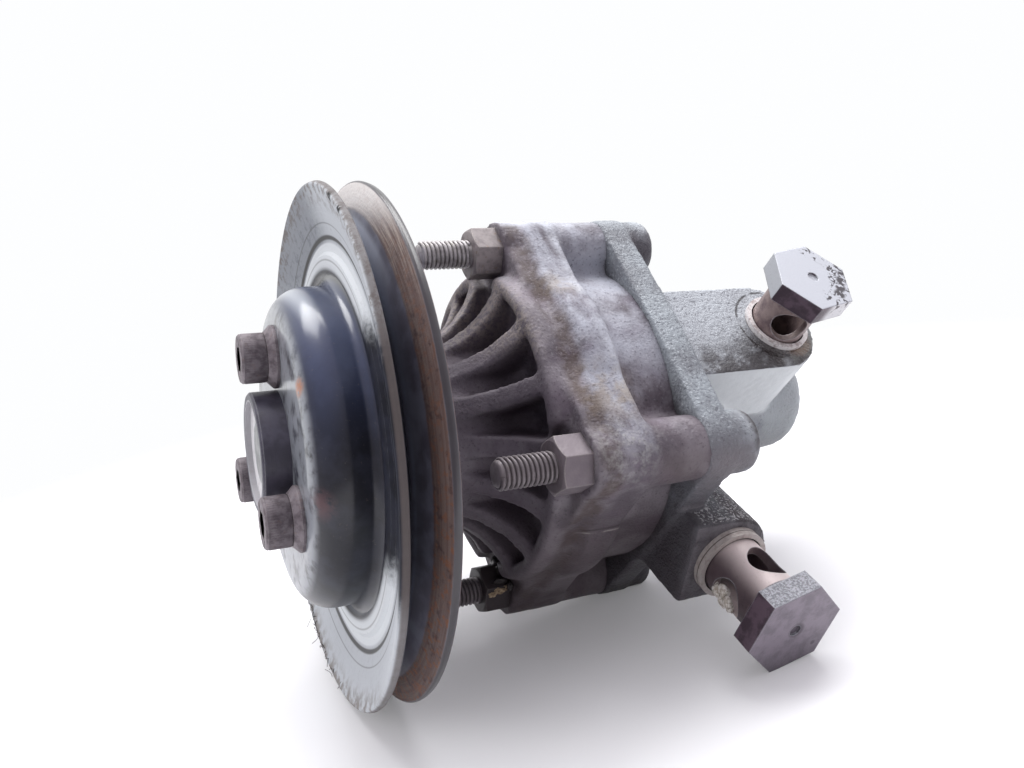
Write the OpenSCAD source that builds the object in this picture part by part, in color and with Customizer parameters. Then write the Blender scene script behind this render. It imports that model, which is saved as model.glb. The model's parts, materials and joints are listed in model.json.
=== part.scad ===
// Power steering pump: a vane pump with a belt pulley, four mounting studs and two banjo bolts.
// X runs along the shaft towards the rear, Z is up, and the origin is on the shaft in the belt plane.
// Angles about the shaft count from straight up (+Z) towards -Y.

/* [Pulley] */
// Outer radius of the pulley rims
pulley_r = 70; // [62:0.5:80]
// Distance between the two rim edges
groove_w = 11.8; // [10:0.2:15]
// Depth of the belt groove
groove_depth = 15; // [12:0.5:17]
// Thickness of the pressed sheets
sheet_t = 2.2; // [1.6:0.1:2.6]
// Outer radius of the hub cup
cup_r = 42.8; // [41:0.2:45]
// Distance from the belt plane to the front face of the cup
cup_depth = 17.8; // [16:0.2:22]
// Radius of the shoulder round the cup's face
cup_shoulder_r = 8; // [5:0.5:9]
// Radius of the bend between the cup and the web
web_bend_r = 4; // [3:0.5:5]
// Height of the pressed ring in the web
web_ring_h = 0.9; // [0.4:0.1:1.4]

/* [Drive flange and screws] */
// Radius of the spigot that centres the pulley
spigot_r = 16; // [14:0.2:17]
// Length of the spigot in front of the cup
spigot_len = 7.2; // [5:0.2:9]
// Depth of the recess in the spigot's end
spigot_recess = 1.6; // [0.8:0.2:3]
// Radius of the flange behind the cup
drive_flange_r = 33; // [31:0.5:33]
// Thickness of the flange
drive_flange_t = 7; // [6:0.5:8]
// Radius of the hub behind the flange
hub_r = 14; // [12:0.5:16]
// Distance of the pulley screws from the shaft
screw_circle_r = 25; // [24.5:0.1:25.5]
// Number of pulley screws
screw_count = 3; // [3:1:4]
// Height of a pulley screw's head
screw_head_h = 6.4; // [5:0.2:8]
// Height of a conical washer
cone_washer_h = 2.6; // [2:0.2:3]

/* [Fasteners] */
// Radius of the 8 mm screws and studs
bolt_r = 4; // [3.5:0.1:4.2]
// Radius of the head of an 8 mm cap screw
cap_head_r = 6.5; // [6:0.1:7]
// Width across the flats of a stud nut
nut_af = 13; // [12:0.5:14]
// Height of a stud nut
nut_h = 8; // [6:0.5:9]
// Distance of the studs from the shaft
stud_circle_r = 50; // [49.5:0.1:51]
// Number of studs
stud_count = 4; // [4:1:4]
// Length of a stud in front of its nut
stud_free_len = 14.8; // [10:0.2:17]
// Length of a stud screwed into the rear housing
stud_grip = 13; // [10:0.5:14]

/* [Shaft and bearing] */
// Radius of the shaft in the hub
shaft_hub_r = 8; // [7:0.1:8.2]
// Radius of the shaft in the ball bearing
bearing_bore_r = 8.5; // [8.4:0.1:9]
// Outer radius of the ball bearing
bearing_r = 20; // [19:0.5:20.5]
// Width of the ball bearing
bearing_w = 12; // [11:0.5:13]
// Number of balls
ball_count = 8; // [6:1:8]
// Radius of a ball
ball_r = 3.4; // [3:0.1:3.6]
// Radius of the shaft under the seal
seal_land_r = 10; // [9.6:0.1:10.4]
// Outer radius of the shaft seal
seal_r = 16; // [15.5:0.1:16.5]
// Width of the shaft seal
seal_w = 7; // [5:0.5:8]
// Radius of the shaft in the front pressure plate
journal_r = 9; // [8.8:0.1:9.4]
// Outer radius of the splines
spline_r = 8; // [7.6:0.1:8.4]
// Number of splines
spline_count = 6; // [4:1:8]

/* [Front housing] */
// Front end of the bearing neck
neck_x = 9.5; // [9:0.1:10]
// Outer radius of the bearing neck
neck_r = 24.4; // [24:0.1:25.5]
// Front rim of the bell
bell_x = 40.5; // [39:0.5:42]
// Outer radius of the bell's front lip
lip_r = 45; // [44.5:0.1:46]
// Radius of the bell's shallow valley behind the lip
valley_r = 44.2; // [43.8:0.1:44.4]
// Outer radius of the bell's drum
bell_r = 47; // [46:0.1:48]
// Wall of the bell at its lip
bell_wall = 4.6; // [4:0.2:5.4]
// Radius of the rounding on the bell's front lip
lip_round_r = 2.2; // [1.5:0.1:2.3]
// Front edge of the drum and of the flats between the ears
flat_x = 51; // [50:0.5:53]
// Face of the ears that the nuts seat on
ear_x = 45; // [44:0.1:46]
// Radius of an ear
ear_r = 9; // [8.6:0.1:9.6]
// Rear edge of the bell and of the ears
bell_rear_x = 62; // [58:0.5:66]
// Outer radius of the barrel behind the bell
barrel_r = 43.6; // [43:0.1:44.2]
// Radius of the stud bosses behind the ears
boss_r = 8.5; // [8:0.1:8.8]
// Number of ribs round the neck
rib_count = 15; // [10:1:16]
// Angle of the first rib
rib_first = 16; // [0:0.5:24]
// Thickness of a rib
rib_t = 5.6; // [4:0.2:7]
// Radius of a rib's hollow edge
rib_arc_r = 27; // [25:1:60]
// Radius of the clear space round a nut
nut_space_r = 10.5; // [10:0.1:11.5]
// Front wall of the pumping chamber
chamber_x = 50; // [49.5:0.1:51]
// Wall of the barrel round the pumping chamber
barrel_wall = 5.6; // [5:0.1:6]

/* [Rear housing] */
// Joint face between the two housings
joint_x = 78; // [77:0.5:80]
// Thickness of the flange plate
plate_t = 8; // [7:0.5:10]
// Bulge of the plate's sides between the studs
plate_bulge = 1.2; // [0.4:0.1:2]
// Length of the stud bosses from the joint face
rear_boss_len = 16.5; // [16.5:0.5:20]
// Radius of the drum behind the plate
drum_r = 27; // [25:0.5:29]
// Length of the drum behind the plate
drum_len = 24; // [20:1:28]
// Radius of the rear dome
dome_r = 18; // [16:0.5:19]
// Rear end of the dome
dome_x = 149; // [146:1:152]
// Radius of the rounding on the dome
dome_round_r = 8; // [5:0.5:10]
// Radius of the pressure chamber
pressure_r = 21; // [20:0.2:22]
// Depth of the pressure chamber from the joint face
pressure_depth = 17; // [16:0.5:20]

/* [Pressure port] */
// Angle of the pressure port about the shaft
pressure_angle = 45; // [40:1:50]
// Distance of the pressure port from the belt plane
pressure_x = 125; // [122:0.5:128]
// Distance of the port's seat from the shaft
pressure_seat = 38.2; // [38:0.2:41]
// Half the width of the port's block
pressure_half_w = 15.5; // [15.5:0.1:17]
// Distance of the block's round end in front of the port's axis
pressure_end_back = 3; // [2:0.2:4]
// Lower side of the port's block
pressure_low = 13; // [12:0.5:13.5]
// Width across the flats of the pressure bolt
pressure_af = 22; // [19:1:24]
// Radius of the pressure bolt's thread
pressure_thread_r = 8.3; // [7:0.1:8.4]
// Bare shank of the pressure bolt between its head and its washer
pressure_shank = 13.2; // [11:0.2:15]

/* [Suction port] */
// Angle of the suction port about the shaft
suction_angle = 110; // [106:1:114]
// Distance of the suction port from the belt plane
suction_x = 92; // [91.5:0.5:94]
// Sideways offset of the suction port from the shaft
suction_offset = -15.5; // [-17:0.5:-14]
// Distance of the port's seat from the shaft
suction_seat = 56.2; // [55:0.2:60]
// Half the width of the port's block
suction_half_w = 13; // [12.6:0.1:13.4]
// Width across the flats of the suction bolt
suction_af = 24; // [22:1:26]
// Radius of the suction bolt's thread
suction_thread_r = 9; // [8:0.1:9.4]
// Bare shank of the suction bolt between its head and its washers
suction_shank = 19.2; // [15:0.2:20]

/* [Banjo bolts] */
// Height of a banjo bolt's head
banjo_head_h = 6.2; // [5:0.2:8]
// Bore along a bolt, as a share of its shank
banjo_bore_share = 0.74; // [0.72:0.01:0.78]
// Cross holes of a bolt, as a share of its shank
banjo_hole_share = 0.61; // [0.5:0.01:0.62]
// Relief of the shank under the thread radius
banjo_relief = 0.2; // [0.2:0.1:0.6]
// Thickness of a seal washer
seal_washer_t = 1.5; // [1:0.1:2]
// Width of a seal washer's ring
seal_washer_w = 1.4; // [1.2:0.1:2.6]

/* [Pumping set] */
// Thinnest wall of the cam ring
cam_wall = 8; // [7.6:0.1:9]
// Difference between the largest and the smallest radius inside the cam ring
cam_lift = 3; // [1.5:0.1:3.4]
// Room between the rotor and the nearest point of the cam ring
rotor_room = 1.5; // [1.5:0.1:2]
// Width of the rotor's running space
cam_w = 15; // [13:0.5:15]
// Thickness of the front pressure plate
front_plate_t = 5.9; // [5:0.1:5.9]
// Thickness of the rear pressure plate
rear_plate_t = 6.5; // [5.5:0.1:6.8]
// Number of vanes
vane_count = 10; // [10:1:10]
// Thickness of a vane
vane_t = 1.7; // [1.4:0.1:2]
// Height of a vane
vane_h = 8; // [7:0.1:8.2]
// Depth of a vane's tip under the rotor's edge at rest
vane_sink = 0.1; // [0.1:0.1:0.4]
// Radius of the dowel pins
dowel_r = 2; // [1.6:0.1:2.2]
// Distance of the dowel pins from the chamber's wall
dowel_inset = 4.2; // [3.8:0.1:4.6]

/* [Flow valve] */
// Distance of the valve's bore from the shaft
valve_z = 23; // [22.5:0.1:23.5]
// Radius of the valve's bore
valve_r = 6.5; // [6:0.1:6.8]
// Length of the spool
spool_len = 9.5; // [8:0.5:10]
// Radius of the plug
plug_r = 8; // [7.6:0.1:8.2]
// Length of the spool's spring
valve_spring_len = 6; // [5.6:0.2:6.6]

/* [Fits] */
// Gap of a running or sliding fit
run_gap = 0.05; // [0.03:0.01:0.08]
// Gap between pieces that stay clear of each other
free_gap = 0.3; // [0.2:0.05:0.4]
// Gap in a screwed or pressed seat
seat_gap = 0.02; // [0.01:0.01:0.03]

/* [Hidden] */
$fn = 72;
// Points along a round stretch of an outline
arc_steps = 6;
sqrt3 = sqrt(3);
cup_mid_r = cup_r - sheet_t / 2;
rim_mid_r = pulley_r - sheet_t / 6;
cup_inner_x = -cup_depth + sheet_t;
washer_face_x = -cup_depth - cone_washer_h;
screw_end_x = cup_inner_x + drive_flange_t - 0.5;
spigot_x = -cup_depth - spigot_len;
shaft_front_x = spigot_x + spigot_recess;
hub_rear_x = neck_x - 1.5;
bearing_x = neck_x + 3.5;
bearing_rear_x = bearing_x + bearing_w;
ball_circle_r = (bearing_bore_r + bearing_r) / 2;
ring_wall = (bearing_r - bearing_bore_r) * 0.29;
seal_x = bearing_rear_x + 6;
pocket_x = ear_x;
cam_x = chamber_x + front_plate_t + 0.1;
rear_plate_x = cam_x + cam_w;
rear_plate_end = rear_plate_x + rear_plate_t;
shaft_end_x = rear_plate_end + 4;
plate_x = joint_x + plate_t;
chamber_r = barrel_r - barrel_wall;
cam_max_r = chamber_r - cam_wall;
cam_min_r = cam_max_r - cam_lift;
rotor_r = cam_min_r - rotor_room;
dowel_circle_r = chamber_r - dowel_inset;
pressure_spring_r = pressure_r - 6;
vane_tip_r = rotor_r - vane_sink;
slot_r = vane_tip_r - vane_h - 0.3;
clip_t = 1.2;
clip_x = bearing_x - clip_t - 0.1;
oring_r = 1.2;
oring_seat = 2 * oring_r;
oring_room = oring_r + 0.1;
front_oring_r = chamber_r - 3.15;
joint_oring_r = (chamber_r + barrel_r) / 2;
rear_groove_x = rear_plate_end + 2;
rear_stem_end = rear_plate_end + 6;
spline_w = 2.5;
stud_x = ear_x - nut_h - stud_free_len;
stud_end_x = joint_x + stud_grip;
stud_step_x = ear_x - nut_h - 0.1;
stud_core_r = bolt_r - 0.15;
plug_face = pressure_half_w - 0.5;
plug_len = 6;
pressure_grip = pressure_seat - valve_z - valve_r - 0.2;
spring_end = plug_face - plug_len - 0.1;
spool_end = spring_end - valve_spring_len;
spool_start = spool_end - spool_len;
valve_bore_end = spool_start - 2;
ear_angles = [for (i = [0 : stud_count - 1]) i * 360 / stud_count];

// Points of an arc round a centre, from one angle to another
function arc(c, r, from, to, steps = arc_steps) =
    [for (i = [0 : steps]) let (a = from + (to - from) * i / steps) c + r * [cos(a), sin(a)]];

// Left normal of the step between two points
function side(a, b) = [a[1] - b[1], b[0] - a[0]] / norm(b - a);

// Direction and reach of the corner at point i of a path, for a unit offset
function corner(p, i) =
    i == 0 ? side(p[0], p[1])
    : i == len(p) - 1 ? side(p[i - 1], p[i])
    : let (m = side(p[i - 1], p[i]), n = side(p[i], p[i + 1])) (m + n) / (1 + m * n);

// Outline of a sheet of thickness t that follows a path
function sheet(p, t) = concat(
    [for (i = [0 : len(p) - 1]) p[i] + corner(p, i) * t / 2],
    [for (i = [len(p) - 1 : -1 : 0]) p[i] - corner(p, i) * t / 2]);

// Centre of the circle of radius r through two points, on the left of the way from a to b
function arc_centre(a, b, r) =
    (a + b) / 2 + side(a, b) * sqrt(r * r - pow(norm(b - a) / 2, 2));

// Turned solid about the shaft, from [radius, x] points
module turned(points) {
    rotate([0, 90, 0]) rotate_extrude() polygon(points);
}

// Round bar along the shaft's direction
module rod(from, to, r) {
    translate([from, 0, 0]) rotate([0, 90, 0]) cylinder(h = to - from, r = r);
}

// Tube along the shaft's direction
module tube(from, to, inner, outer) {
    turned([[inner, from], [outer, from], [outer, to], [inner, to]]);
}

// Hexagonal bar along +Z
module hex_bar(af, h) {
    cylinder(h = h, r = af / sqrt3, $fn = 6);
}

// Children turned about the shaft, so that their +Z points at the angle
module at_angle(a) {
    rotate([a, 0, 0]) children();
}

// Children at each ear, with their own axis at the stud's centre
module at_studs() {
    for (a = ear_angles) at_angle(a) translate([0, 0, stud_circle_r]) children();
}

// Children at each pulley screw
module at_screws() {
    for (i = [0 : screw_count - 1]) at_angle(i * 360 / screw_count)
        translate([0, 0, screw_circle_r]) children();
}

// Coil spring along +Z, as a round wire swept along a helix
module coil(r, wire_r, length, turns) {
    ring = 8;
    steps = turns * 16;
    rise = (length - 2 * wire_r) / steps;
    points = [for (i = [0 : steps], j = [0 : ring - 1])
        let (a = i * 360 / 16, b = j * 360 / ring, q = r + wire_r * cos(b))
        [q * cos(a), q * sin(a), wire_r + i * rise + wire_r * sin(b)]];
    sides = [for (i = [0 : steps - 1], j = [0 : ring - 1])
        [i * ring + j, (i + 1) * ring + j, (i + 1) * ring + (j + 1) % ring, i * ring + (j + 1) % ring]];
    first = [for (j = [0 : ring - 1]) j];
    last = [for (j = [ring - 1 : -1 : 0]) steps * ring + j];
    polyhedron(points, concat(sides, [first, last]), convexity = 8);
}

// Snap ring with a gap, about the shaft
module snap_ring(from, inner, outer, gap) {
    difference() {
        tube(from, from + clip_t, inner, outer);
        translate([from - 1, -gap / 2, -outer - 1]) cube([clip_t + 2, gap, outer]);
    }
}

// Hub cup, web and front flange of the pulley, drawn from one sheet
module pulley_front_sheet() {
    bend = [cup_mid_r + web_bend_r, -sheet_t / 2 - web_bend_r];
    shoulder = [cup_mid_r - cup_shoulder_r, -cup_depth + sheet_t / 2 + cup_shoulder_r];
    root_r = pulley_r - groove_depth;
    ring_r = (root_r + bend[0]) / 2;
    path = concat(
        [[rim_mid_r, -groove_w / 2], [root_r, -sheet_t / 2],
            [ring_r + 1, -sheet_t / 2], [ring_r, -sheet_t / 2 - web_ring_h],
            [bend[0] + 1.2, -sheet_t / 2 - web_ring_h], [bend[0] + 0.2, -sheet_t / 2]],
        arc(bend, web_bend_r, 90, 180),
        arc(shoulder, cup_shoulder_r, 0, -90),
        [[spigot_r + run_gap, -cup_depth + sheet_t / 2]]);
    color("#2c3038") difference() {
        turned(sheet(path, sheet_t));
        at_screws() rod(-cup_depth - 1, cup_inner_x + 1, bolt_r + free_gap);
    }
}

// Rear flange of the pulley, with a collar inside the cup
module pulley_rear_sheet() {
    nest = sheet_t + run_gap;
    bend = [cup_mid_r + web_bend_r, -sheet_t / 2 - web_bend_r];
    path = concat(
        [[rim_mid_r, groove_w / 2], [pulley_r - groove_depth, nest - sheet_t / 2]],
        arc(bend, web_bend_r + nest, 90, 180),
        [[cup_mid_r - nest, bend[1] - 3]]);
    color("#3a302c") turned(sheet(path, sheet_t));
}

// Hub pressed on the shaft: flange for the screws and spigot that centres the pulley
module drive_flange() {
    bore = shaft_hub_r + seat_gap;
    edge = 0.6;
    color("#2f3440") difference() {
        turned([[bore, shaft_front_x], [spigot_r - 2.2, shaft_front_x], [spigot_r - 2.2, spigot_x],
            [spigot_r - edge, spigot_x], [spigot_r, spigot_x + edge], [spigot_r, cup_inner_x],
            [drive_flange_r, cup_inner_x], [drive_flange_r, cup_inner_x + drive_flange_t],
            [hub_r, cup_inner_x + drive_flange_t], [hub_r, hub_rear_x], [bore, hub_rear_x]]);
        at_screws() rod(cup_inner_x - 1, cup_inner_x + drive_flange_t + 1, bolt_r + seat_gap);
    }
}

// Cap screws that hold the pulley
module pulley_screws() {
    socket_af = 6;
    edge = 0.5;
    color("#5a4f4c") at_screws() difference() {
        turned([[0, washer_face_x - screw_head_h], [cap_head_r - edge, washer_face_x - screw_head_h],
            [cap_head_r, washer_face_x - screw_head_h + edge], [cap_head_r, washer_face_x],
            [bolt_r, washer_face_x], [bolt_r, screw_end_x], [0, screw_end_x]]);
        translate([washer_face_x - screw_head_h - 1, 0, 0]) rotate([0, 90, 0])
            hex_bar(socket_af, screw_head_h * 0.6 + 1);
    }
}

// Conical washers under the cap screws
module pulley_screw_washers() {
    inner = bolt_r + free_gap;
    outer = cap_head_r + 1.8;
    color("#5d5654") at_screws() turned([[inner, washer_face_x], [cap_head_r, washer_face_x],
        [outer, -cup_depth - 0.8], [outer, -cup_depth], [inner, -cup_depth]]);
}

// Stepped and splined shaft
module pump_shaft() {
    groove_r = bearing_bore_r - 0.6;
    root_r = spline_r - 1;
    color("#9a9a9c") {
        turned([[0, shaft_front_x], [shaft_hub_r, shaft_front_x], [shaft_hub_r, hub_rear_x],
            [bearing_bore_r, hub_rear_x + 0.5], [bearing_bore_r, clip_x - 0.05], [groove_r, clip_x - 0.05],
            [groove_r, clip_x + clip_t + 0.05], [bearing_bore_r, clip_x + clip_t + 0.05],
            [bearing_bore_r, bearing_rear_x], [seal_land_r + 1.5, bearing_rear_x],
            [seal_land_r + 1.5, bearing_rear_x + 3], [seal_land_r, bearing_rear_x + 3],
            [seal_land_r, chamber_x - 2], [journal_r, chamber_x - 2], [journal_r, cam_x - 0.5],
            [root_r, cam_x - 0.5], [root_r, shaft_end_x], [0, shaft_end_x]]);
        for (i = [0 : spline_count - 1]) at_angle(i * 360 / spline_count)
            translate([cam_x, -spline_w / 2, root_r - 1]) cube([cam_w, spline_w, spline_r - root_r + 1]);
    }
}

// Snap ring that holds the bearing on the shaft
module shaft_circlip() {
    color("#6e6e70") snap_ring(clip_x, bearing_bore_r - 0.55, bearing_bore_r + 1.8, 5);
}

// Race groove shared by both bearing rings
module ball_track(extra) {
    translate([bearing_x + bearing_w / 2, 0, 0]) rotate([0, 90, 0]) rotate_extrude()
        translate([ball_circle_r, 0]) circle(r = ball_r + extra);
}

module bearing_inner_ring() {
    color("#b8babd") difference() {
        tube(bearing_x, bearing_rear_x, bearing_bore_r + seat_gap, bearing_bore_r + ring_wall);
        ball_track(2 * run_gap);
    }
}

module bearing_outer_ring() {
    color("#b8babd") difference() {
        tube(bearing_x, bearing_rear_x, bearing_r - ring_wall, bearing_r - seat_gap);
        ball_track(2 * run_gap);
    }
}

// Children at each ball of the bearing
module at_balls() {
    for (i = [0 : ball_count - 1]) at_angle(i * 360 / ball_count)
        translate([bearing_x + bearing_w / 2, 0, ball_circle_r]) children();
}

module bearing_balls() {
    color("#d0d2d4") at_balls() sphere(r = ball_r);
}

// Cage between the rings, with a round pocket for each ball
module bearing_cage() {
    half = (bearing_r - bearing_bore_r) / 2 - ring_wall - free_gap;
    color("#a8824a") difference() {
        tube(bearing_x + 1.2, bearing_rear_x - 1.2, ball_circle_r - half, ball_circle_r + half);
        at_balls() translate([0, 0, -half - 1]) cylinder(h = 2 * half + 2, r = ball_r + run_gap);
    }
}

// Snap ring that holds the bearing in the housing
module bearing_circlip() {
    color("#6e6e70") snap_ring(clip_x, bearing_r - 2, bearing_r + 0.9, 9);
}

// Lip seal behind the bearing
module shaft_seal() {
    lip = seal_land_r + run_gap;
    shell = seal_r - seat_gap;
    color("#26221f") turned([[lip + 1.6, seal_x], [shell, seal_x], [shell, seal_x + seal_w],
        [seal_r - 1.8, seal_x + seal_w], [seal_r - 1.8, seal_x + 1.8], [lip + 2.8, seal_x + 1.8],
        [lip + 1.4, seal_x + seal_w - 1], [lip, seal_x + seal_w - 2.2], [lip + 1.2, seal_x + 1.8]]);
}

// Square plate across the shaft, with its corners rounded about the studs and its sides bulged out
module square_plate(from, to, corner_r, bulge = 0) {
    middle_r = stud_circle_r * cos(45) + corner_r + bulge;
    outline = [for (a = ear_angles) each concat(
        arc(stud_circle_r * [sin(a), cos(a)], corner_r, 90 - a + 45, 90 - a - 45, 8),
        bulge > 0 ? [middle_r * [sin(a + 45), cos(a + 45)]] : [])];
    translate([from, 0, 0]) rotate([90, 0, 90]) linear_extrude(to - from) polygon(outline);
}

// Outline of one rib in [x, radius], with its hollow edge
function rib_outline() =
    let (a = [neck_x + 1.5, neck_r - 0.4], b = [bell_x + 0.8, lip_r - 1.2], c = arc_centre(a, b, rib_arc_r))
    concat(
        arc(c, rib_arc_r, atan2(a[1] - c[1], a[0] - c[0]), atan2(b[1] - c[1], b[0] - c[0]), 8),
        [[pocket_x + 1, lip_r - 1.2], [pocket_x + 1, neck_r - 2], [neck_x + 1.5, neck_r - 2]]);

// Ribs between the bearing neck and the bell
module ribs() {
    for (i = [0 : rib_count - 1]) at_angle(rib_first + i * 360 / rib_count)
        translate([0, rib_t / 2, 0]) rotate([90, 0, 0]) linear_extrude(rib_t) polygon(rib_outline());
}

// Neck, front wall, bell and barrel of the front casting, as one turned body
module front_body() {
    inner_wall = lip_r - bell_wall;
    turned(concat(
        [[bearing_r, neck_x], [bearing_r, bearing_rear_x], [seal_land_r + 3, bearing_rear_x],
            [seal_land_r + 3, seal_x], [seal_r, seal_x], [seal_r, joint_x], [barrel_r, joint_x],
            [barrel_r, bell_rear_x + 1.5], [bell_r - 1, bell_rear_x], [bell_r, bell_rear_x - 1],
            [bell_r, flat_x + 2], [valley_r, flat_x - 1], [valley_r, flat_x - 3], [lip_r, bell_x + 5]],
        arc([lip_r - lip_round_r, bell_x + lip_round_r], lip_round_r, 0, -90),
        [[inner_wall, bell_x + 0.8], [inner_wall, pocket_x], [neck_r + 4, pocket_x], [neck_r, pocket_x - 5],
            [neck_r, neck_x + 1], [neck_r - 1, neck_x]]));
}

// Ears and stud bosses of the front casting
module front_ears() {
    web_z = barrel_r - 3.5 - stud_circle_r;
    at_studs() {
        rod(ear_x, bell_rear_x, ear_r);
        rod(bell_rear_x - 1, joint_x, boss_r);
        translate([ear_x, -ear_r + 0.6, web_z]) cube([bell_rear_x - ear_x, 2 * ear_r - 1.2, -web_z]);
        translate([bell_rear_x - 1, -boss_r + 1, web_z])
            cube([joint_x - bell_rear_x + 1, 2 * boss_r - 2, -web_z]);
    }
}

// Flats between the ears of the front casting, the front one a little lower
module front_flats() {
    difference() {
        union() {
            square_plate(flat_x, bell_rear_x - 0.5, ear_r - 0.2);
            square_plate(ear_x + 0.4, flat_x + 0.5, ear_r - 1.4);
        }
        rod(ear_x, bell_rear_x + 1, chamber_r - 2);
    }
}

module front_housing() {
    groove = bearing_r + 1;
    color("#77706e") difference() {
        union() {
            front_body();
            ribs();
            front_ears();
            front_flats();
        }
        rod(chamber_x, joint_x + 1, chamber_r);
        tube(clip_x - 0.1, clip_x + clip_t + 0.1, bearing_r - 1, groove);
        at_studs() rod(neck_x, ear_x, nut_space_r);
        at_studs() rod(ear_x - 1, joint_x + 1, bolt_r + free_gap);
        tube(chamber_x - oring_seat, chamber_x + 1, front_oring_r - oring_room, front_oring_r + oring_room);
    }
}

// Block of the pressure port, with a round end about the port
module pressure_block() {
    h = pressure_seat - pressure_low;
    end_x = pressure_x - pressure_end_back;
    at_angle(pressure_angle) translate([0, 0, pressure_low]) linear_extrude(h)
        polygon(concat([[plate_x - 1, pressure_half_w], [plate_x - 1, -pressure_half_w]],
            arc([end_x, 0], pressure_half_w, -90, 90, 16)));
}

// Block of the suction port, with a round end about the port
module suction_block() {
    root = 14;
    h = suction_seat - root;
    front = joint_x + 0.5;
    at_angle(suction_angle) translate([0, suction_offset, root]) linear_extrude(h)
        polygon(concat([[front, suction_half_w], [front, -suction_half_w]],
            arc([suction_x, 0], suction_half_w, -90, 90, 16)));
}

// Drum and dome behind the plate
module rear_body() {
    drum_end = plate_x + drum_len;
    turned(concat(
        [[0, plate_x - 1], [drum_r, plate_x - 1], [drum_r, drum_end - 4], [drum_r - 4, drum_end],
            [dome_r, drum_end]],
        arc([dome_r - dome_round_r, dome_x - dome_round_r], dome_round_r, 0, 90),
        [[0, dome_x]]));
}

// Stud bosses of the rear casting
module rear_bosses() {
    edge = 1.5;
    end = joint_x + rear_boss_len;
    at_studs() turned([[0, joint_x], [boss_r, joint_x], [boss_r, end - edge],
        [boss_r - edge, end], [0, end]]);
}

// Bores of the pressure port and the flow valve
module pressure_bores() {
    passage_r = 2.5;
    at_angle(pressure_angle) {
        translate([pressure_x, 0, pressure_seat - pressure_grip - 0.5])
            cylinder(h = pressure_grip + 1.5, r = pressure_thread_r + seat_gap);
        translate([pressure_x, 0, valve_z])
            cylinder(h = pressure_seat - valve_z, r = pressure_thread_r * 0.58);
        translate([pressure_x, valve_bore_end, valve_z]) rotate([-90, 0, 0])
            cylinder(h = pressure_half_w - valve_bore_end, r = valve_r);
        translate([pressure_x, plug_face - plug_len, valve_z]) rotate([-90, 0, 0])
            cylinder(h = plug_len + 1, r = plug_r + seat_gap);
        translate([joint_x + pressure_depth - 2, -8, valve_z - 7.5]) rotate([0, 90, 0])
            cylinder(h = pressure_x - joint_x - pressure_depth + 2, r = passage_r);
    }
}

// Bores of the suction port
module suction_bores() {
    thread_depth = 13;
    floor = 24;
    passage_r = 4;
    at_angle(suction_angle) {
        translate([suction_x, suction_offset, suction_seat - thread_depth])
            cylinder(h = thread_depth + 1, r = suction_thread_r + seat_gap);
        translate([suction_x, suction_offset, floor])
            cylinder(h = suction_seat - floor, r = suction_thread_r * 0.73);
        translate([joint_x - 1, suction_offset, floor + 5.5]) rotate([0, 90, 0])
            cylinder(h = suction_x - joint_x, r = passage_r);
    }
}

module rear_housing() {
    color("#6a6a6c") difference() {
        union() {
            square_plate(joint_x, plate_x, ear_r, plate_bulge);
            rear_body();
            rear_bosses();
            pressure_block();
            suction_block();
        }
        rod(joint_x - 1, joint_x + pressure_depth, pressure_r);
        tube(joint_x - 1, joint_x + oring_seat, joint_oring_r - oring_room, joint_oring_r + oring_room);
        at_studs() rod(joint_x - 1, stud_end_x + 1, stud_core_r + seat_gap);
        pressure_bores();
        suction_bores();
    }
}

// Kidney-shaped ports of a pressure plate: two pairs, a quarter turn apart
module kidneys(from, to) {
    for (i = [0 : 3]) translate([from, 0, 0]) rotate([i * 90 + 20, 0, 0]) rotate([0, 90, 0])
        rotate_extrude(angle = 50) translate([rotor_r - 1, 0]) square([cam_max_r - rotor_r + 0.5, to - from]);
}

// Children at each dowel pin
module at_dowels() {
    for (a = [0, 180]) at_angle(a + 45) translate([0, 0, dowel_circle_r]) children();
}

module front_pressure_plate() {
    color("#8d8f92") difference() {
        tube(chamber_x + 0.1, cam_x, journal_r + run_gap, chamber_r - run_gap);
        kidneys(cam_x - 2.5, cam_x + 1);
        at_dowels() rod(chamber_x + 1.5, cam_x + 1, dowel_r + seat_gap);
    }
}

module rear_pressure_plate() {
    stem_r = pressure_r - run_gap;
    clip_room_r = spline_r + 4;
    color("#8d8f92") difference() {
        turned([[clip_room_r, rear_plate_x], [chamber_r - run_gap, rear_plate_x],
            [chamber_r - run_gap, rear_plate_end], [stem_r, rear_plate_end], [stem_r, rear_groove_x],
            [stem_r - oring_seat, rear_groove_x], [stem_r - oring_seat, rear_groove_x + 2 * oring_room],
            [stem_r, rear_groove_x + 2 * oring_room], [stem_r, rear_stem_end],
            [spline_r - 1 + run_gap, rear_stem_end],
            [spline_r - 1 + run_gap, rear_plate_x + 3], [clip_room_r, rear_plate_x + 3]]);
        kidneys(rear_plate_x - 1, rear_plate_x + 2.5);
        at_dowels() rod(rear_plate_x - 1, rear_plate_end - 1.5, dowel_r + seat_gap);
    }
}

// Ring with the two-lobed track that the vanes follow
module cam_ring() {
    steps = 72;
    mid = (cam_max_r + cam_min_r) / 2;
    lift = (cam_max_r - cam_min_r) / 2;
    track = [for (i = [0 : steps - 1])
        let (a = i * 360 / steps, r = mid + lift * cos(2 * a)) r * [cos(a), sin(a)]];
    color("#a0a2a5") difference() {
        rod(cam_x + run_gap, rear_plate_x - run_gap, chamber_r - run_gap);
        translate([cam_x - 1, 0, 0]) rotate([90, 0, 90]) linear_extrude(cam_w + 2) polygon(track);
        at_dowels() rod(cam_x - 1, rear_plate_x + 1, dowel_r + seat_gap);
    }
}

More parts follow.
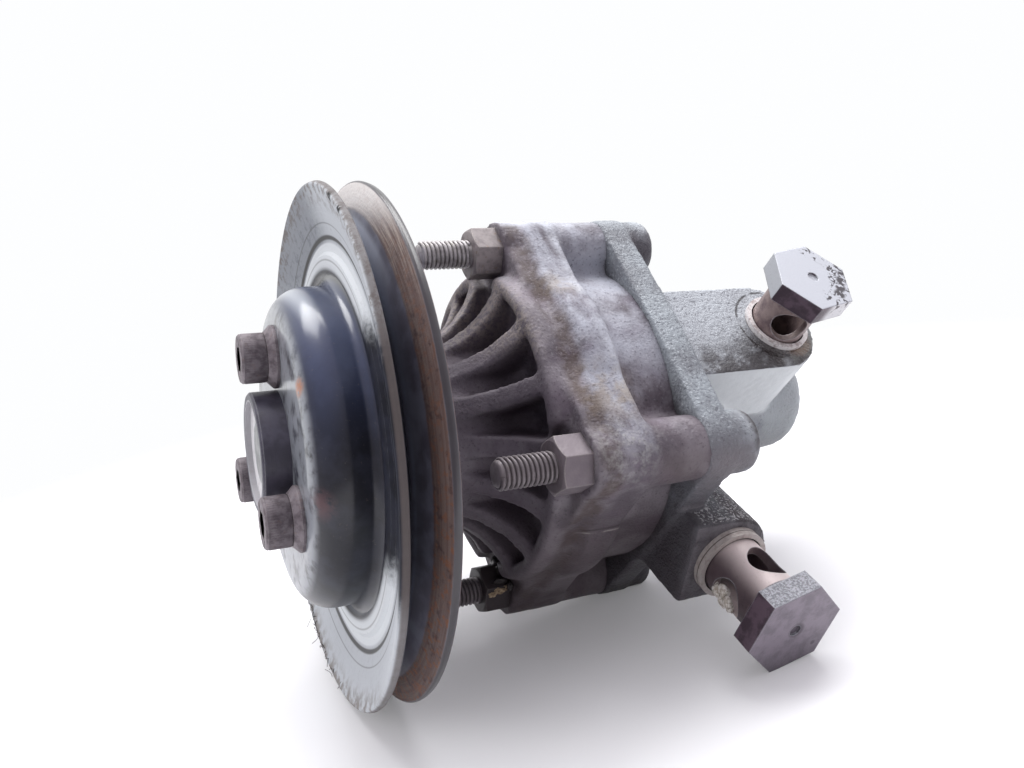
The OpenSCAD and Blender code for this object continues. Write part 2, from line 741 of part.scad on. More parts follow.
module rotor() {
    color("#85878a") difference() {
        rod(cam_x + 2 * run_gap, rear_plate_x - 2 * run_gap, rotor_r);
        rod(cam_x - 1, rear_plate_x + 1, spline_r - 1 + seat_gap);
        for (i = [0 : spline_count - 1]) at_angle(i * 360 / spline_count)
            translate([cam_x - 1, -spline_w / 2 - seat_gap, 0])
                cube([cam_w + 2, spline_w + 2 * seat_gap, spline_r + seat_gap]);
        for (i = [0 : vane_count - 1]) at_angle(i * 360 / vane_count) {
            translate([cam_x - 1, -vane_t / 2 - run_gap, slot_r])
                cube([cam_w + 2, vane_t + 2 * run_gap, rotor_r - slot_r + 1]);
            translate([0, 0, slot_r]) rod(cam_x - 1, rear_plate_x + 1, vane_t * 0.8);
        }
    }
}

// Snap ring behind the rotor
module rotor_circlip() {
    color("#6e6e70") snap_ring(rear_plate_x + 0.3, spline_r - 1 + seat_gap, spline_r + 3, 4);
}

// One vane of the rotor, at rest down in its slot
module vane(i) {
    color("#c2c4c6") at_angle((i - 1) * 360 / vane_count)
        translate([cam_x + 2 * run_gap, -vane_t / 2, vane_tip_r - vane_h])
            cube([cam_w - 4 * run_gap, vane_t, vane_h]);
}

module dowel_pins() {
    color("#9c9ea0") at_dowels() rod(chamber_x + 2, rear_plate_end - 2, dowel_r);
}

// Spring that presses the rear plate on the cam ring
module pressure_spring() {
    color("#7c7e80") translate([rear_stem_end, 0, 0]) rotate([0, 90, 0])
        coil(pressure_spring_r, 1.1, joint_x + pressure_depth - rear_stem_end, 2);
}

// Round sealing ring about the shaft's axis
module oring(x, r) {
    color("#1c1a19") translate([x, 0, 0]) rotate([0, 90, 0]) rotate_extrude()
        translate([r, 0]) circle(r = oring_r - run_gap);
}

module front_plate_oring() {
    oring(chamber_x - oring_r, front_oring_r);
}

module rear_plate_oring() {
    oring(rear_groove_x + 0.1 + oring_r, pressure_r - run_gap - oring_r);
}

module housing_oring() {
    oring(joint_x + oring_r, joint_oring_r);
}

// Studs that hold the housings together and carry the pump
module mounting_studs() {
    edge = 0.8;
    color("#8a8684") at_studs() turned([[0, stud_x], [bolt_r - edge, stud_x], [bolt_r, stud_x + edge],
        [bolt_r, stud_step_x], [stud_core_r, stud_step_x], [stud_core_r, stud_end_x], [0, stud_end_x]]);
}

module stud_nuts() {
    turns = [15, 30, 10, 0];
    color("#7d7876") for (i = [0 : stud_count - 1])
        at_angle(ear_angles[i]) translate([0, 0, stud_circle_r])
        difference() {
            intersection() {
                translate([ear_x - nut_h, 0, 0]) rotate([turns[i], 0, 0]) rotate([0, 90, 0])
                    hex_bar(nut_af, nut_h);
                turned([[0, ear_x - nut_h], [nut_af / 2 - 0.2, ear_x - nut_h],
                    [nut_af / sqrt3 + 0.1, ear_x - nut_h + 0.7], [nut_af / sqrt3 + 0.1, ear_x], [0, ear_x]]);
            }
            rod(ear_x - nut_h - 1, ear_x + 1, stud_core_r + seat_gap);
        }
}

// Hollow bolt along +Z from its thread's end, with cross holes at a share of its bare shank's length
module banjo_bolt(af, thread_r, grip, washers, shank, hole_share, hole_angles, head_turn) {
    shank_r = thread_r - banjo_relief;
    hole_r = shank_r * banjo_hole_share;
    shank_z = grip + washers;
    hole_z = shank_z + shank * hole_share;
    head_z = shank_z + shank;
    edge = 0.8;
    dimple_r = 1.6;
    hole_start = 1;
    bore_over = 0.8;
    difference() {
        union() {
            rotate_extrude() polygon([[0, 0], [thread_r - edge, 0], [thread_r, edge], [thread_r, grip],
                [shank_r, grip], [shank_r, head_z + 1], [0, head_z + 1]]);
            translate([0, 0, head_z]) rotate([0, 0, head_turn]) hex_bar(af, banjo_head_h);
        }
        translate([0, 0, -1]) cylinder(h = hole_z + hole_r + bore_over + 1, r = shank_r * banjo_bore_share);
        for (a = hole_angles) translate([0, 0, hole_z]) rotate([0, 90, a]) translate([0, 0, hole_start])
            cylinder(h = shank_r, r = hole_r);
        translate([0, 0, head_z + banjo_head_h - 0.6]) cylinder(h = 1, r = dimple_r);
    }
}

module pressure_bolt() {
    color("#3b3438") at_angle(pressure_angle) translate([pressure_x, 0, pressure_seat - pressure_grip])
        banjo_bolt(pressure_af, pressure_thread_r, pressure_grip, seal_washer_t, pressure_shank, 0.42,
            [62, 242], 10);
}

module suction_bolt() {
    grip = 12;
    color("#3b3438") at_angle(suction_angle) translate([suction_x, suction_offset, suction_seat - grip])
        banjo_bolt(suction_af, suction_thread_r, grip, 2 * seal_washer_t + seat_gap, suction_shank,
            0.45, [75, 195, 315], 15);
}

// Flat sealing ring along +Z
module seal_ring(inner, thickness) {
    rotate_extrude() translate([inner, 0]) square([seal_washer_w, thickness]);
}

module pressure_washer() {
    color("#c9c2bc") at_angle(pressure_angle) translate([pressure_x, 0, pressure_seat])
        seal_ring(pressure_thread_r + 0.2, seal_washer_t);
}

module suction_washers() {
    color("#bdb3a6") at_angle(suction_angle) for (i = [0, 1])
        translate([suction_x, suction_offset, suction_seat + i * (seal_washer_t + seat_gap)])
            seal_ring(suction_thread_r + 0.2, seal_washer_t);
}

// Children along the flow valve's bore, whose +Z points at the plug
module along_valve(from) {
    at_angle(pressure_angle) translate([pressure_x, from, valve_z]) rotate([-90, 0, 0]) children();
}

// Flow valve spool with two lands
module valve_spool() {
    land = 3;
    waist = valve_r - 1.8;
    r = valve_r - run_gap;
    color("#a6a8aa") along_valve(spool_start) rotate_extrude() polygon([[0, 0], [r - 0.5, 0], [r, 0.5],
        [r, land], [waist, land], [waist, spool_len - land], [r, spool_len - land],
        [r, spool_len], [0, spool_len]]);
}

module valve_spring() {
    color("#7c7e80") along_valve(spool_end) coil(valve_r - 1.6, 0.45, valve_spring_len, 3);
}

// Socket plug that closes the valve's bore
module valve_plug() {
    nose = 2.6;
    color("#4a4647") along_valve(plug_face - plug_len) difference() {
        rotate_extrude() polygon([[0, 0], [plug_r - oring_seat, 0], [plug_r - oring_seat, nose],
            [plug_r, nose], [plug_r, plug_len], [0, plug_len]]);
        translate([0, 0, plug_len - 4]) hex_bar(8, 5);
    }
}

module valve_plug_oring() {
    color("#1c1a19") along_valve(plug_face - plug_len + oring_r + 0.1) rotate_extrude()
        translate([plug_r - oring_r, 0]) circle(r = oring_r - run_gap);
}

front_housing();
rear_housing();
pulley_front_sheet();
pulley_rear_sheet();
drive_flange();
pulley_screws();
pulley_screw_washers();
pump_shaft();
shaft_circlip();
bearing_inner_ring();
bearing_outer_ring();
bearing_balls();
bearing_cage();
bearing_circlip();
shaft_seal();
front_pressure_plate();
rear_pressure_plate();
cam_ring();
rotor();
rotor_circlip();
for (i = [1 : vane_count]) vane(i);
dowel_pins();
pressure_spring();
front_plate_oring();
rear_plate_oring();
housing_oring();
mounting_studs();
stud_nuts();
pressure_bolt();
pressure_washer();
suction_bolt();
suction_washers();
valve_spool();
valve_spring();
valve_plug();
valve_plug_oring();
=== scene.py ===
# %% [markdown]
# # A power steering pump
#
# The pump came out of a car: a pressed pulley, an oily two-part casting and two hollow bolts.
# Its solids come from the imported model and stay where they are. This lesson gives them their finish,
# and adds what plain solids lack: cast roundness, screw threads, knurled heads, rust, oil and dirt.

import json
import math
import random

import bmesh
import bpy
from mathutils import Matrix, Vector, noise


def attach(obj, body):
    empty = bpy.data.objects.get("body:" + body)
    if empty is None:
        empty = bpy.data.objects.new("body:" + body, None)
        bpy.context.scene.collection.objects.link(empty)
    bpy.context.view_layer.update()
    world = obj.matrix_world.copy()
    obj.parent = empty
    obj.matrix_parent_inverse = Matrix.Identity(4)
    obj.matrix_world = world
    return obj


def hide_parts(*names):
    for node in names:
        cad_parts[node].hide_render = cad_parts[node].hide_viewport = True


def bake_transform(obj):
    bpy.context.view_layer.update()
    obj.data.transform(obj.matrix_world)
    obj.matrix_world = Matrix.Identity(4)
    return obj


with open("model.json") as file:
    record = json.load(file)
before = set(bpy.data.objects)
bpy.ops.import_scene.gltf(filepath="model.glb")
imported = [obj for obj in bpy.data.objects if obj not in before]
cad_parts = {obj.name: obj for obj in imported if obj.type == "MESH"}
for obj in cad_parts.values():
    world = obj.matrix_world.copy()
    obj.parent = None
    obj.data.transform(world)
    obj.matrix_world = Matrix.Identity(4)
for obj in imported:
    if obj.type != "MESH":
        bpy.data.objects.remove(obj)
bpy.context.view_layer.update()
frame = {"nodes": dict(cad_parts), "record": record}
nodes = frame["nodes"]
MM = 0.001

# %% [markdown]
# ## Camera
#
# The place and the lens were worked out from the round rims of the pulley and the line of the shaft.
# Right and up are the camera's own directions in the pump's frame, and backward follows from them.

# %% Camera
CAMERA_PLACE = Vector((-0.0533, -0.2254, 0.0532))
CAMERA_RIGHT = Vector((0.9074, -0.4197, -0.0205))
CAMERA_UP = Vector((0.0875, 0.1411, 0.9861))
PHOTO_WIDTH = 1024
FOCAL_PIXELS = 850
SENSOR_WIDTH = 36
NEAREST_SEEN = 0.01


def place_camera():
    lens = bpy.data.cameras.new("photo_camera")
    lens.sensor_fit = "HORIZONTAL"
    lens.sensor_width = SENSOR_WIDTH
    lens.lens = SENSOR_WIDTH * FOCAL_PIXELS / PHOTO_WIDTH
    lens.clip_start = NEAREST_SEEN
    camera = bpy.data.objects.new("photo_camera", lens)
    bpy.context.scene.collection.objects.link(camera)
    back = CAMERA_RIGHT.cross(CAMERA_UP)
    turn = Matrix((CAMERA_RIGHT, CAMERA_UP, back)).transposed().to_4x4()
    camera.matrix_world = Matrix.Translation(CAMERA_PLACE) @ turn
    bpy.context.scene.camera = camera
    return camera


print("camera lens:", round(place_camera().data.lens, 2), "mm")

# %% [markdown]
# ## Shader maths
#
# A finish is a sum of masks: where it is low, where it is near an edge, where a noise is strong.
# Wrapping a socket in a small class lets such sums be written as plain expressions.

# %% Shader maths
BEVEL_SAMPLES = 6
CREVICE_SAMPLES = 8
# Sockets of a Mix node for colours, by number because they share names.
MIX_SHARE = 0
MIX_FIRST = 6
MIX_SECOND = 7
MIX_COLOUR = 2


class Wire:
    """One output in a material's node tree; sums of wires add Math nodes."""

    def __init__(self, tree, socket):
        self.tree = tree
        self.socket = socket

    def node(self, kind, inputs=None, output=0, **settings):
        """Adds any node: its settings first, then the values or links of its sockets."""
        made = self.tree.nodes.new(kind)
        for name, value in settings.items():
            setattr(made, name, value)
        for key, value in (inputs or {}).items():
            if isinstance(value, Wire):
                self.tree.links.new(value.socket, made.inputs[key])
            else:
                made.inputs[key].default_value = value
        return Wire(self.tree, made.outputs[output])

    def maths(self, operation, first, second):
        return self.node("ShaderNodeMath", {0: first, 1: second}, operation=operation)

    def __add__(self, other):
        return self.maths("ADD", self, other)

    __radd__ = __add__

    def __mul__(self, other):
        return self.maths("MULTIPLY", self, other)

    __rmul__ = __mul__

    def __sub__(self, other):
        return self.maths("SUBTRACT", self, other)

    def __rsub__(self, other):
        return self.maths("SUBTRACT", other, self)

    def __pow__(self, other):
        return self.maths("POWER", self, other)

    def fade(self, low, high):
        """Smooth step from 0 at low to 1 at high; low may be the larger one."""
        inputs = {"Value": self, "From Min": low, "From Max": high}
        return self.node("ShaderNodeMapRange", inputs, interpolation_type="SMOOTHSTEP")

    def span(self, low, high, soft):
        """1 between low and high, with soft ends."""
        return self.fade(low - soft, low + soft) * self.fade(high + soft, high - soft)

    def axes(self):
        """The three coordinates of a place."""
        made = self.node("ShaderNodeSeparateXYZ", {0: self})
        outs = made.socket.node.outputs
        return [Wire(self.tree, outs[i]) for i in range(3)]

    def stretch(self, *factors):
        """The place with each coordinate multiplied by its own factor."""
        return self.node("ShaderNodeVectorMath", {0: self, 1: factors}, operation="MULTIPLY")

    def noise(self, size, detail=3.0, roughness=0.55, distortion=0.0):
        """Cloudy noise whose blobs are about size millimetres."""
        inputs = {"Vector": self, "Scale": 1 / size, "Detail": detail, "Roughness": roughness,
                  "Distortion": distortion}
        return self.node("ShaderNodeTexNoise", inputs)

    def dot(self, other):
        """How far a direction goes along another: -1 to 1."""
        return self.node("ShaderNodeVectorMath", {0: self, 1: other}, "Value", operation="DOT_PRODUCT")

    def near(self, point, reach, soft):
        """1 inside a ball round a point, in millimetres."""
        off = self.node("ShaderNodeVectorMath", {0: self, 1: point}, "Value", operation="DISTANCE")
        return off.fade(reach + soft, reach - soft)

    def spots(self, balls):
        """Sum of several balls, each given as point, reach and soft."""
        masks = [self.near(*ball) for ball in balls]
        return sum(masks[1:], masks[0])

    def normal(self):
        return self.node("ShaderNodeNewGeometry", output="Normal")

    def rounded(self, radius):
        """Normal of the surface as if its edges were rounded by a radius in millimetres."""
        return self.node("ShaderNodeBevel", {"Radius": radius * MM}, samples=BEVEL_SAMPLES)

    def edges(self, radius, low=0.03, high=0.2):
        """1 along sharp edges, where the rounded normal leaves the surface's own."""
        along = self.rounded(radius).dot(self.normal())
        return (1 - along).fade(low, high)

    def crevice_shade(self, reach):
        """1 deep in corners, 0 in the open: the mask for painted shade in corners."""
        inputs = {"Distance": reach * MM}
        open_sky = self.node("ShaderNodeAmbientOcclusion", inputs, "AO", samples=CREVICE_SAMPLES)
        return 1 - open_sky

    def facing(self, axis):
        """How far the surface looks along an axis of the pump: -1 to 1."""
        return self.normal().dot(axis)

    def bump(self, height, depth, round_edges=0.0):
        """Normal of a surface raised by height (0 to 1) times depth in millimetres."""
        inputs = {"Height": height, "Distance": depth * MM}
        if round_edges:
            inputs["Normal"] = self.rounded(round_edges)
        return self.node("ShaderNodeBump", inputs)


def tone(text):
    """A colour written as on a paint card, made linear for the shader."""
    parts = [int(text[i:i + 2], 16) / 255 for i in (1, 3, 5)]
    return (*[c / 12.92 if c <= 0.04045 else ((c + 0.055) / 1.055) ** 2.4 for c in parts], 1.0)


def mix(first, second, share):
    """Colour that goes from first to second as share goes from 0 to 1."""
    first, second = [tone(c) if isinstance(c, str) else c for c in (first, second)]
    inputs = {MIX_SHARE: share, MIX_FIRST: first, MIX_SECOND: second}
    return share.node("ShaderNodeMix", inputs, MIX_COLOUR, data_type="RGBA")


finishes = {}


def finish(slot, make, **constants):
    """Makes the material of one slot; make gets the place in millimetres and gives the varying sockets."""
    material = bpy.data.materials.new(slot)
    material.use_nodes = True
    tree = material.node_tree
    shader = tree.nodes["Principled BSDF"]
    start = Wire(tree, None)
    metres = start.node("ShaderNodeTexCoord", output="Object")
    place = metres.stretch(1 / MM, 1 / MM, 1 / MM)
    for name, value in constants.items():
        shader.inputs[name.replace("_", " ").title().replace("Ior", "IOR")].default_value = value
    for name, wire in make(place).items():
        tree.links.new(wire.socket, shader.inputs[name])
    finishes[slot] = material


print("shader helpers ready")

# %% [markdown]
# ## Front casting
#
# The front half is bare aluminium that years of oil and road dirt have stained brown and purple-grey.
# Corners hold near-black grease and painted shade. The drum is pale in streaks round the shaft, partly
# rubbed and partly a painted highlight, and two ochre stains lie on it. A seam of the mould on the near
# side is painted as a shadow line over a lit lip. The top of the barrel and the faces that look up carry
# painted highlights, pale grains up high are painted glints, and the lower barrel, the underside of a boss
# and the hollow of the throat carry painted shade.

# %% Finish of the front casting
THROAT = (47, 40)
BARREL = (61.5, 63)
VALLEY_SPAN = (46, 52)
DRUM_SPAN = (51, 62)
CREST_SPAN = (58.6, 62.2)
SEAM_SPAN = (50, 62)
SEAM_SHADOW_LINE = (-21.2, -20.7)
SEAM_LIT_LIP = (-22.1, -21.8)
PALE_EAR = ((54, -57, 4), 8, 7)
SHADED_BOSS = ((70, -56, 0), 9, 5)
OCHRE_STAINS = (((57, -45, 16), 7, 6), ((55, -22, 43), 4, 5))


def front_cast(p):
    x, y, z = p.axes()
    radius = (y * y + z * z) ** 0.5
    cloud = p.noise(16, 5)
    patch = p.noise(5, 4, 0.6)
    grain = p.noise(0.8, 3)
    streak = p.stretch(1, 0.4, 0.4).noise(2.4, 4, 0.65)
    colour = mix("#928c92", "#5b545c", cloud.fade(0.38, 0.62))
    colour = mix(colour, "#6d606e", p.noise(9, 3).fade(0.5, 0.7) * 0.55)
    near_side = 1 - y.fade(0, 26) * 0.8
    barrel = x.fade(*BARREL) * z.fade(-6, 20) * near_side
    # Painted highlight: the top of the barrel is paler.
    colour = mix(colour, "#aeb2bd", barrel * cloud.fade(0.7, 0.36) * z.fade(4, 30) * 0.9)
    # Painted shade: the lower barrel is darker, in patches.
    damp_and_shade = barrel * z.fade(26, 10)
    colour = mix(colour, "#55474f", damp_and_shade * patch.fade(0.3, 0.6) * 0.65)
    drum = x.span(*DRUM_SPAN, 2) * radius.fade(44.5, 46.5) * z.fade(-4, 16) * near_side
    # The drum is paler on its upper, near side: a painted highlight, with paler streaks round the shaft
    # that are partly rubbed and partly painted highlight.
    colour = mix(colour, "#a7abb7", drum * cloud.fade(0.72, 0.36) * 0.8)
    colour = mix(colour, "#c0c5d0", drum * streak.fade(0.38, 0.74) * 0.5)
    # Painted highlight along the crest of the drum.
    crest_highlight = x.span(*CREST_SPAN, 1.4) * radius.fade(45, 46) * z.fade(10, 22) * near_side
    colour = mix(colour, "#d2d7e0", crest_highlight * patch.fade(0.28, 0.66) * 0.55)
    valley = x.span(*VALLEY_SPAN, 1.8) * radius.fade(43, 44.2)
    colour = mix(colour, "#4a3b34", valley * patch.fade(0.3, 0.62) * 0.75)
    colour = mix(colour, "#95846a", p.spots(OCHRE_STAINS) * patch.fade(0.34, 0.6) * 0.55)
    pale_ear = p.near(*PALE_EAR) * p.noise(2.4, 5, 0.7).fade(0.44, 0.66)
    colour = mix(colour, "#a8a8a6", pale_ear * 0.6)
    # Painted highlight on faces that look up, high on the casting.
    lit_upward_faces = p.facing((0, 0, 1)).fade(0.75, 0.97) * z.fade(40, 52)
    colour = mix(colour, "#c8ccd5", lit_upward_faces * cloud.fade(0.78, 0.4) * 0.9)
    # Painted shade on the underside of the near boss.
    boss_underside_shade = p.near(*SHADED_BOSS) * z.fade(6, -2)
    colour = mix(colour, "#5c5254", boss_underside_shade * 0.7)
    low = z.fade(2, -34)
    colour = mix(colour, "#4c4244", low * 0.7)
    throat = x.fade(*THROAT) * radius.fade(46, 43)
    colour = mix(colour, "#625a62", throat * 0.6)
    dusty = throat * z.fade(20, 32) * p.noise(1.3, 4, 0.7).fade(0.4, 0.58)
    colour = mix(colour, "#a99f93", dusty * 0.55)
    # Painted shade deep in the hollow of the throat.
    deep = throat * p.crevice_shade(24).fade(0.35, 0.8)
    colour = mix(colour, "#41363f", deep * 0.7)
    # Near-black in corners: grease, and painted shade.
    grease_and_shade = p.crevice_shade(6).fade(0.35, 0.9)
    colour = mix(colour, "#2a2025", grease_and_shade * 0.75)
    rubbed = p.edges(1.6, high=0.22) * patch.fade(0.3, 0.6)
    colour = mix(colour, "#a39d98", rubbed * (1 - low * 0.7) * 0.5)
    seam = x.span(*SEAM_SPAN, 2) * y.fade(-28, -32)
    # The mould seam is painted as a shadow line, with a lit lip just below it.
    colour = mix(colour, "#2a2022", seam * z.span(*SEAM_SHADOW_LINE, 0.3) * 0.6)
    colour = mix(colour, "#b9b2ad", seam * z.span(*SEAM_LIT_LIP, 0.3) * patch.fade(0.36, 0.56) * 0.6)
    colour = mix(colour, "#2b2428", grain.fade(0.56, 0.72) * 0.45)
    # Painted glints: pale grains only on the upper part, outside the throat.
    colour = mix(colour, "#d2d2d6", grain.fade(0.42, 0.3) * z.fade(-10, 25) * (1 - throat) * 0.16)
    rough = 0.5 + 0.25 * patch - grease_and_shade * 0.15
    normal = p.bump(grain * 0.6 + patch * 0.9, 0.35)
    return {"Base Color": colour, "Roughness": rough, "Normal": normal}


finish("cast_front", front_cast, metallic=0.15)
print("front casting: stains, grease and rubbed drum")

# %% [markdown]
# ## Rear casting
#
# The rear half kept the pebbled skin of its sand mould. Round the upper port it is wet with oil, with a
# little amber oil at the foot of the washer. The top of the tongue, its near flank, the lower part of the
# dome and glints on the pebbles are painted light; the undersides of the bosses, a ring round the seat and
# the corners hold painted shade, with grease in the corners.

# %% Finish of the rear casting
PRESSURE_TILT = math.radians(45)
PRESSURE_AXIS = Vector((0, -math.sin(PRESSURE_TILT), math.cos(PRESSURE_TILT)))
PRESSURE_PLACE = Vector((125, 0, 0))
PRESSURE_HEIGHT = 38.2
PRESSURE_SEAT = PRESSURE_PLACE + PRESSURE_AXIS * PRESSURE_HEIGHT
SPOT_INNER = 12.5
SPOT_OUTER = 13.2
TONGUE = (88, 94)
DOME = (128, 132)
SUCTION_ASIDE = 0.94
SUCTION_DOWN = 0.342
SUCTION_AXIS = (0, -SUCTION_ASIDE, -SUCTION_DOWN)
LIT_FLANK_WAY = (0, -0.707, -0.707)
BLOCK_TOP_WAY = (0.1, -0.34, 0.94)
TOP_BOSS_SHADE_WAY = (0.55, -0.75, -0.35)
TOP_BOSS = ((86, -2, 50), 12, 3)
NEAR_BOSS = ((84, -53, -1), 9, 5)
AMBER_OIL = ((128, -33, 24), 5, 3)


def rear_cast(p):
    x, y, z = p.axes()
    cloud = p.noise(14, 4)
    pebble = p.noise(0.85, 3, 0.6)
    colour = mix("#9aa1a7", "#777a80", cloud.fade(0.36, 0.64))
    out = p.facing(PRESSURE_AXIS)
    tongue = x.fade(*TONGUE)
    # Painted light: the top of the tongue, which looks up, is paler.
    colour = mix(colour, "#c0c5cb", tongue * out.fade(0.4, 0.8) * 0.7)
    colour = mix(colour, "#4d4d57", pebble.fade(0.44, 0.33) * 0.6)
    # Painted glints on the pebbles, only on the upper part.
    colour = mix(colour, "#c5cdd2", pebble.fade(0.57, 0.68) * z.fade(-5, 15) * 0.5)
    # Painted light: the near flank of the tongue, which looks down and towards the viewer, is pale.
    lit_flank = tongue * p.facing(LIT_FLANK_WAY).fade(0.75, 0.95) * z.fade(-6, 0)
    colour = mix(colour, "#cdd2d4", lit_flank * 0.9)
    # Painted light: the lower part of the dome is paler.
    dome = x.fade(*DOME) * z.fade(16, 6)
    colour = mix(colour, "#a6acaf", dome * 0.7)
    # Painted shade on the underside of the near boss.
    boss_underside_shade = p.near(*NEAR_BOSS) * z.fade(7, -3)
    colour = mix(colour, "#6a6165", boss_underside_shade * 0.85)
    # Painted shade on the side of the top boss that looks towards the viewer and a little down.
    top_boss_shade = p.near(*TOP_BOSS) * p.facing(TOP_BOSS_SHADE_WAY).fade(0.1, 0.75)
    top_boss_shade = top_boss_shade * x.fade(83.5, 86.5)
    colour = mix(colour, "#4d474e", top_boss_shade * 0.85)
    seat = p.near(PRESSURE_SEAT, 15, 8)
    near_edge = tongue * out.fade(0.4, 0.8) * y.fade(-25, -39)
    damp_and_shade = (near_edge * 1.1 + seat * 0.3) * tongue * p.noise(7, 4, 0.6).fade(0.2, 0.55)
    colour = mix(colour, "#342e30", damp_and_shade.fade(0.0, 1.0) * 0.9)
    wet = tongue * out.fade(0.3, 0.7) * seat * y.fade(-24, -34) * p.noise(4, 4, 0.6).fade(0.28, 0.46)
    colour = mix(colour, "#1d1514", wet * 0.9)
    amber = p.near(*AMBER_OIL) * out.fade(0.5, 0.8) * p.noise(2.5, 3).fade(0.35, 0.5)
    colour = mix(colour, "#8a5a1e", amber * 0.75)
    # A painted shadow line round the seat, where the edge of a spot face would be.
    spot_face_shadow = p.near(PRESSURE_SEAT, SPOT_OUTER, 0.2) - p.near(PRESSURE_SEAT, SPOT_INNER, 0.2)
    colour = mix(colour, "#1d1615", spot_face_shadow * out.fade(0.6, 0.9) * p.noise(6, 2).fade(0.4, 0.5) * 0.8)
    low = z.fade(-2, -26)
    colour = mix(colour, "#332b30", low * 0.88)
    # Near-black in corners: grease, and painted shade.
    grease_and_shade = p.crevice_shade(8).fade(0.3, 0.85)
    colour = mix(colour, "#1f191a", grease_and_shade * 0.85)
    lower_seat = p.facing(SUCTION_AXIS).fade(0.85, 0.96) * y.fade(-42, -46)
    colour = mix(colour, "#6c686d", lower_seat * p.noise(5, 3).fade(0.3, 0.6) * 0.75)
    block_top = p.facing(BLOCK_TOP_WAY).fade(0.8, 0.95) * z.fade(-12, -16) * x.fade(80, 83)
    colour = mix(colour, "#c3c2c4", block_top * p.noise(0.8, 3, 0.7).fade(0.52, 0.6) * 0.85)
    rubbed = p.edges(1.2, high=0.25) * p.noise(3, 3).fade(0.35, 0.6)
    colour = mix(colour, "#b6b9bd", rubbed * (1 - low * 0.4) * 0.5)
    shine = (wet + amber).fade(0.1, 0.8)
    rough = 0.48 + 0.12 * cloud - shine * 0.42 - lit_flank * 0.12
    normal = p.bump(pebble * (1 - lit_flank * 0.85), 0.5)
    return {"Base Color": colour, "Roughness": rough, "Normal": normal, "Coat Weight": shine * 0.9}


finish("cast_rear", rear_cast, metallic=0.1, coat_roughness=0.08)
print("rear casting: pebbled skin, oil round the upper port")

# %% [markdown]
# ## Pulley
#
# Both sheets were painted black. The front flange is worn, and its face is painted pale at the top, at the
# bottom and on the far side as a reflection, with painted shade along its creases; most of the cup's face
# is rubbed bare. The side of the cup still holds glossy paint, with a painted sky reflection and highlight
# on its upper shoulder. Rust covers the outer band of the rear flange and is painted paler at the top as a
# highlight; the groove carries a painted sheen, and the rim painted shade towards the bottom.

# %% Finish of the pulley
RIM_EDGE = (69.2, 69.6)
FLANGE_EDGE = (46.5, 48.5)
RUBBED_RING = (46.8, 54)
CUP_EDGE = (47, 45)
CUP_FACE = (-15.9, -17.5)
RUST_START = (61.5, 63.8)
RUST_END = (69.9, 69.0)
NICKS = (((-6.8, -23, 65), 1.6, 0.7), ((-6.9, -31.5, 61.5), 1.4, 0.7))
RUST_SPOT = ((-17.6, -29, 21), 2, 1.2)
BROWN_STAIN = ((-15.9, -38.8, -4.5), 3, 2.5)


def ring_place(p, along):
    """Place on a turned piece as rings: the radius and x count, the angle hardly does."""
    x, y, z = p.axes()
    radius = (y * y + z * z) ** 0.5
    inputs = {0: radius, 1: x, 2: y * along}
    return radius, p.node("ShaderNodeCombineXYZ", inputs)


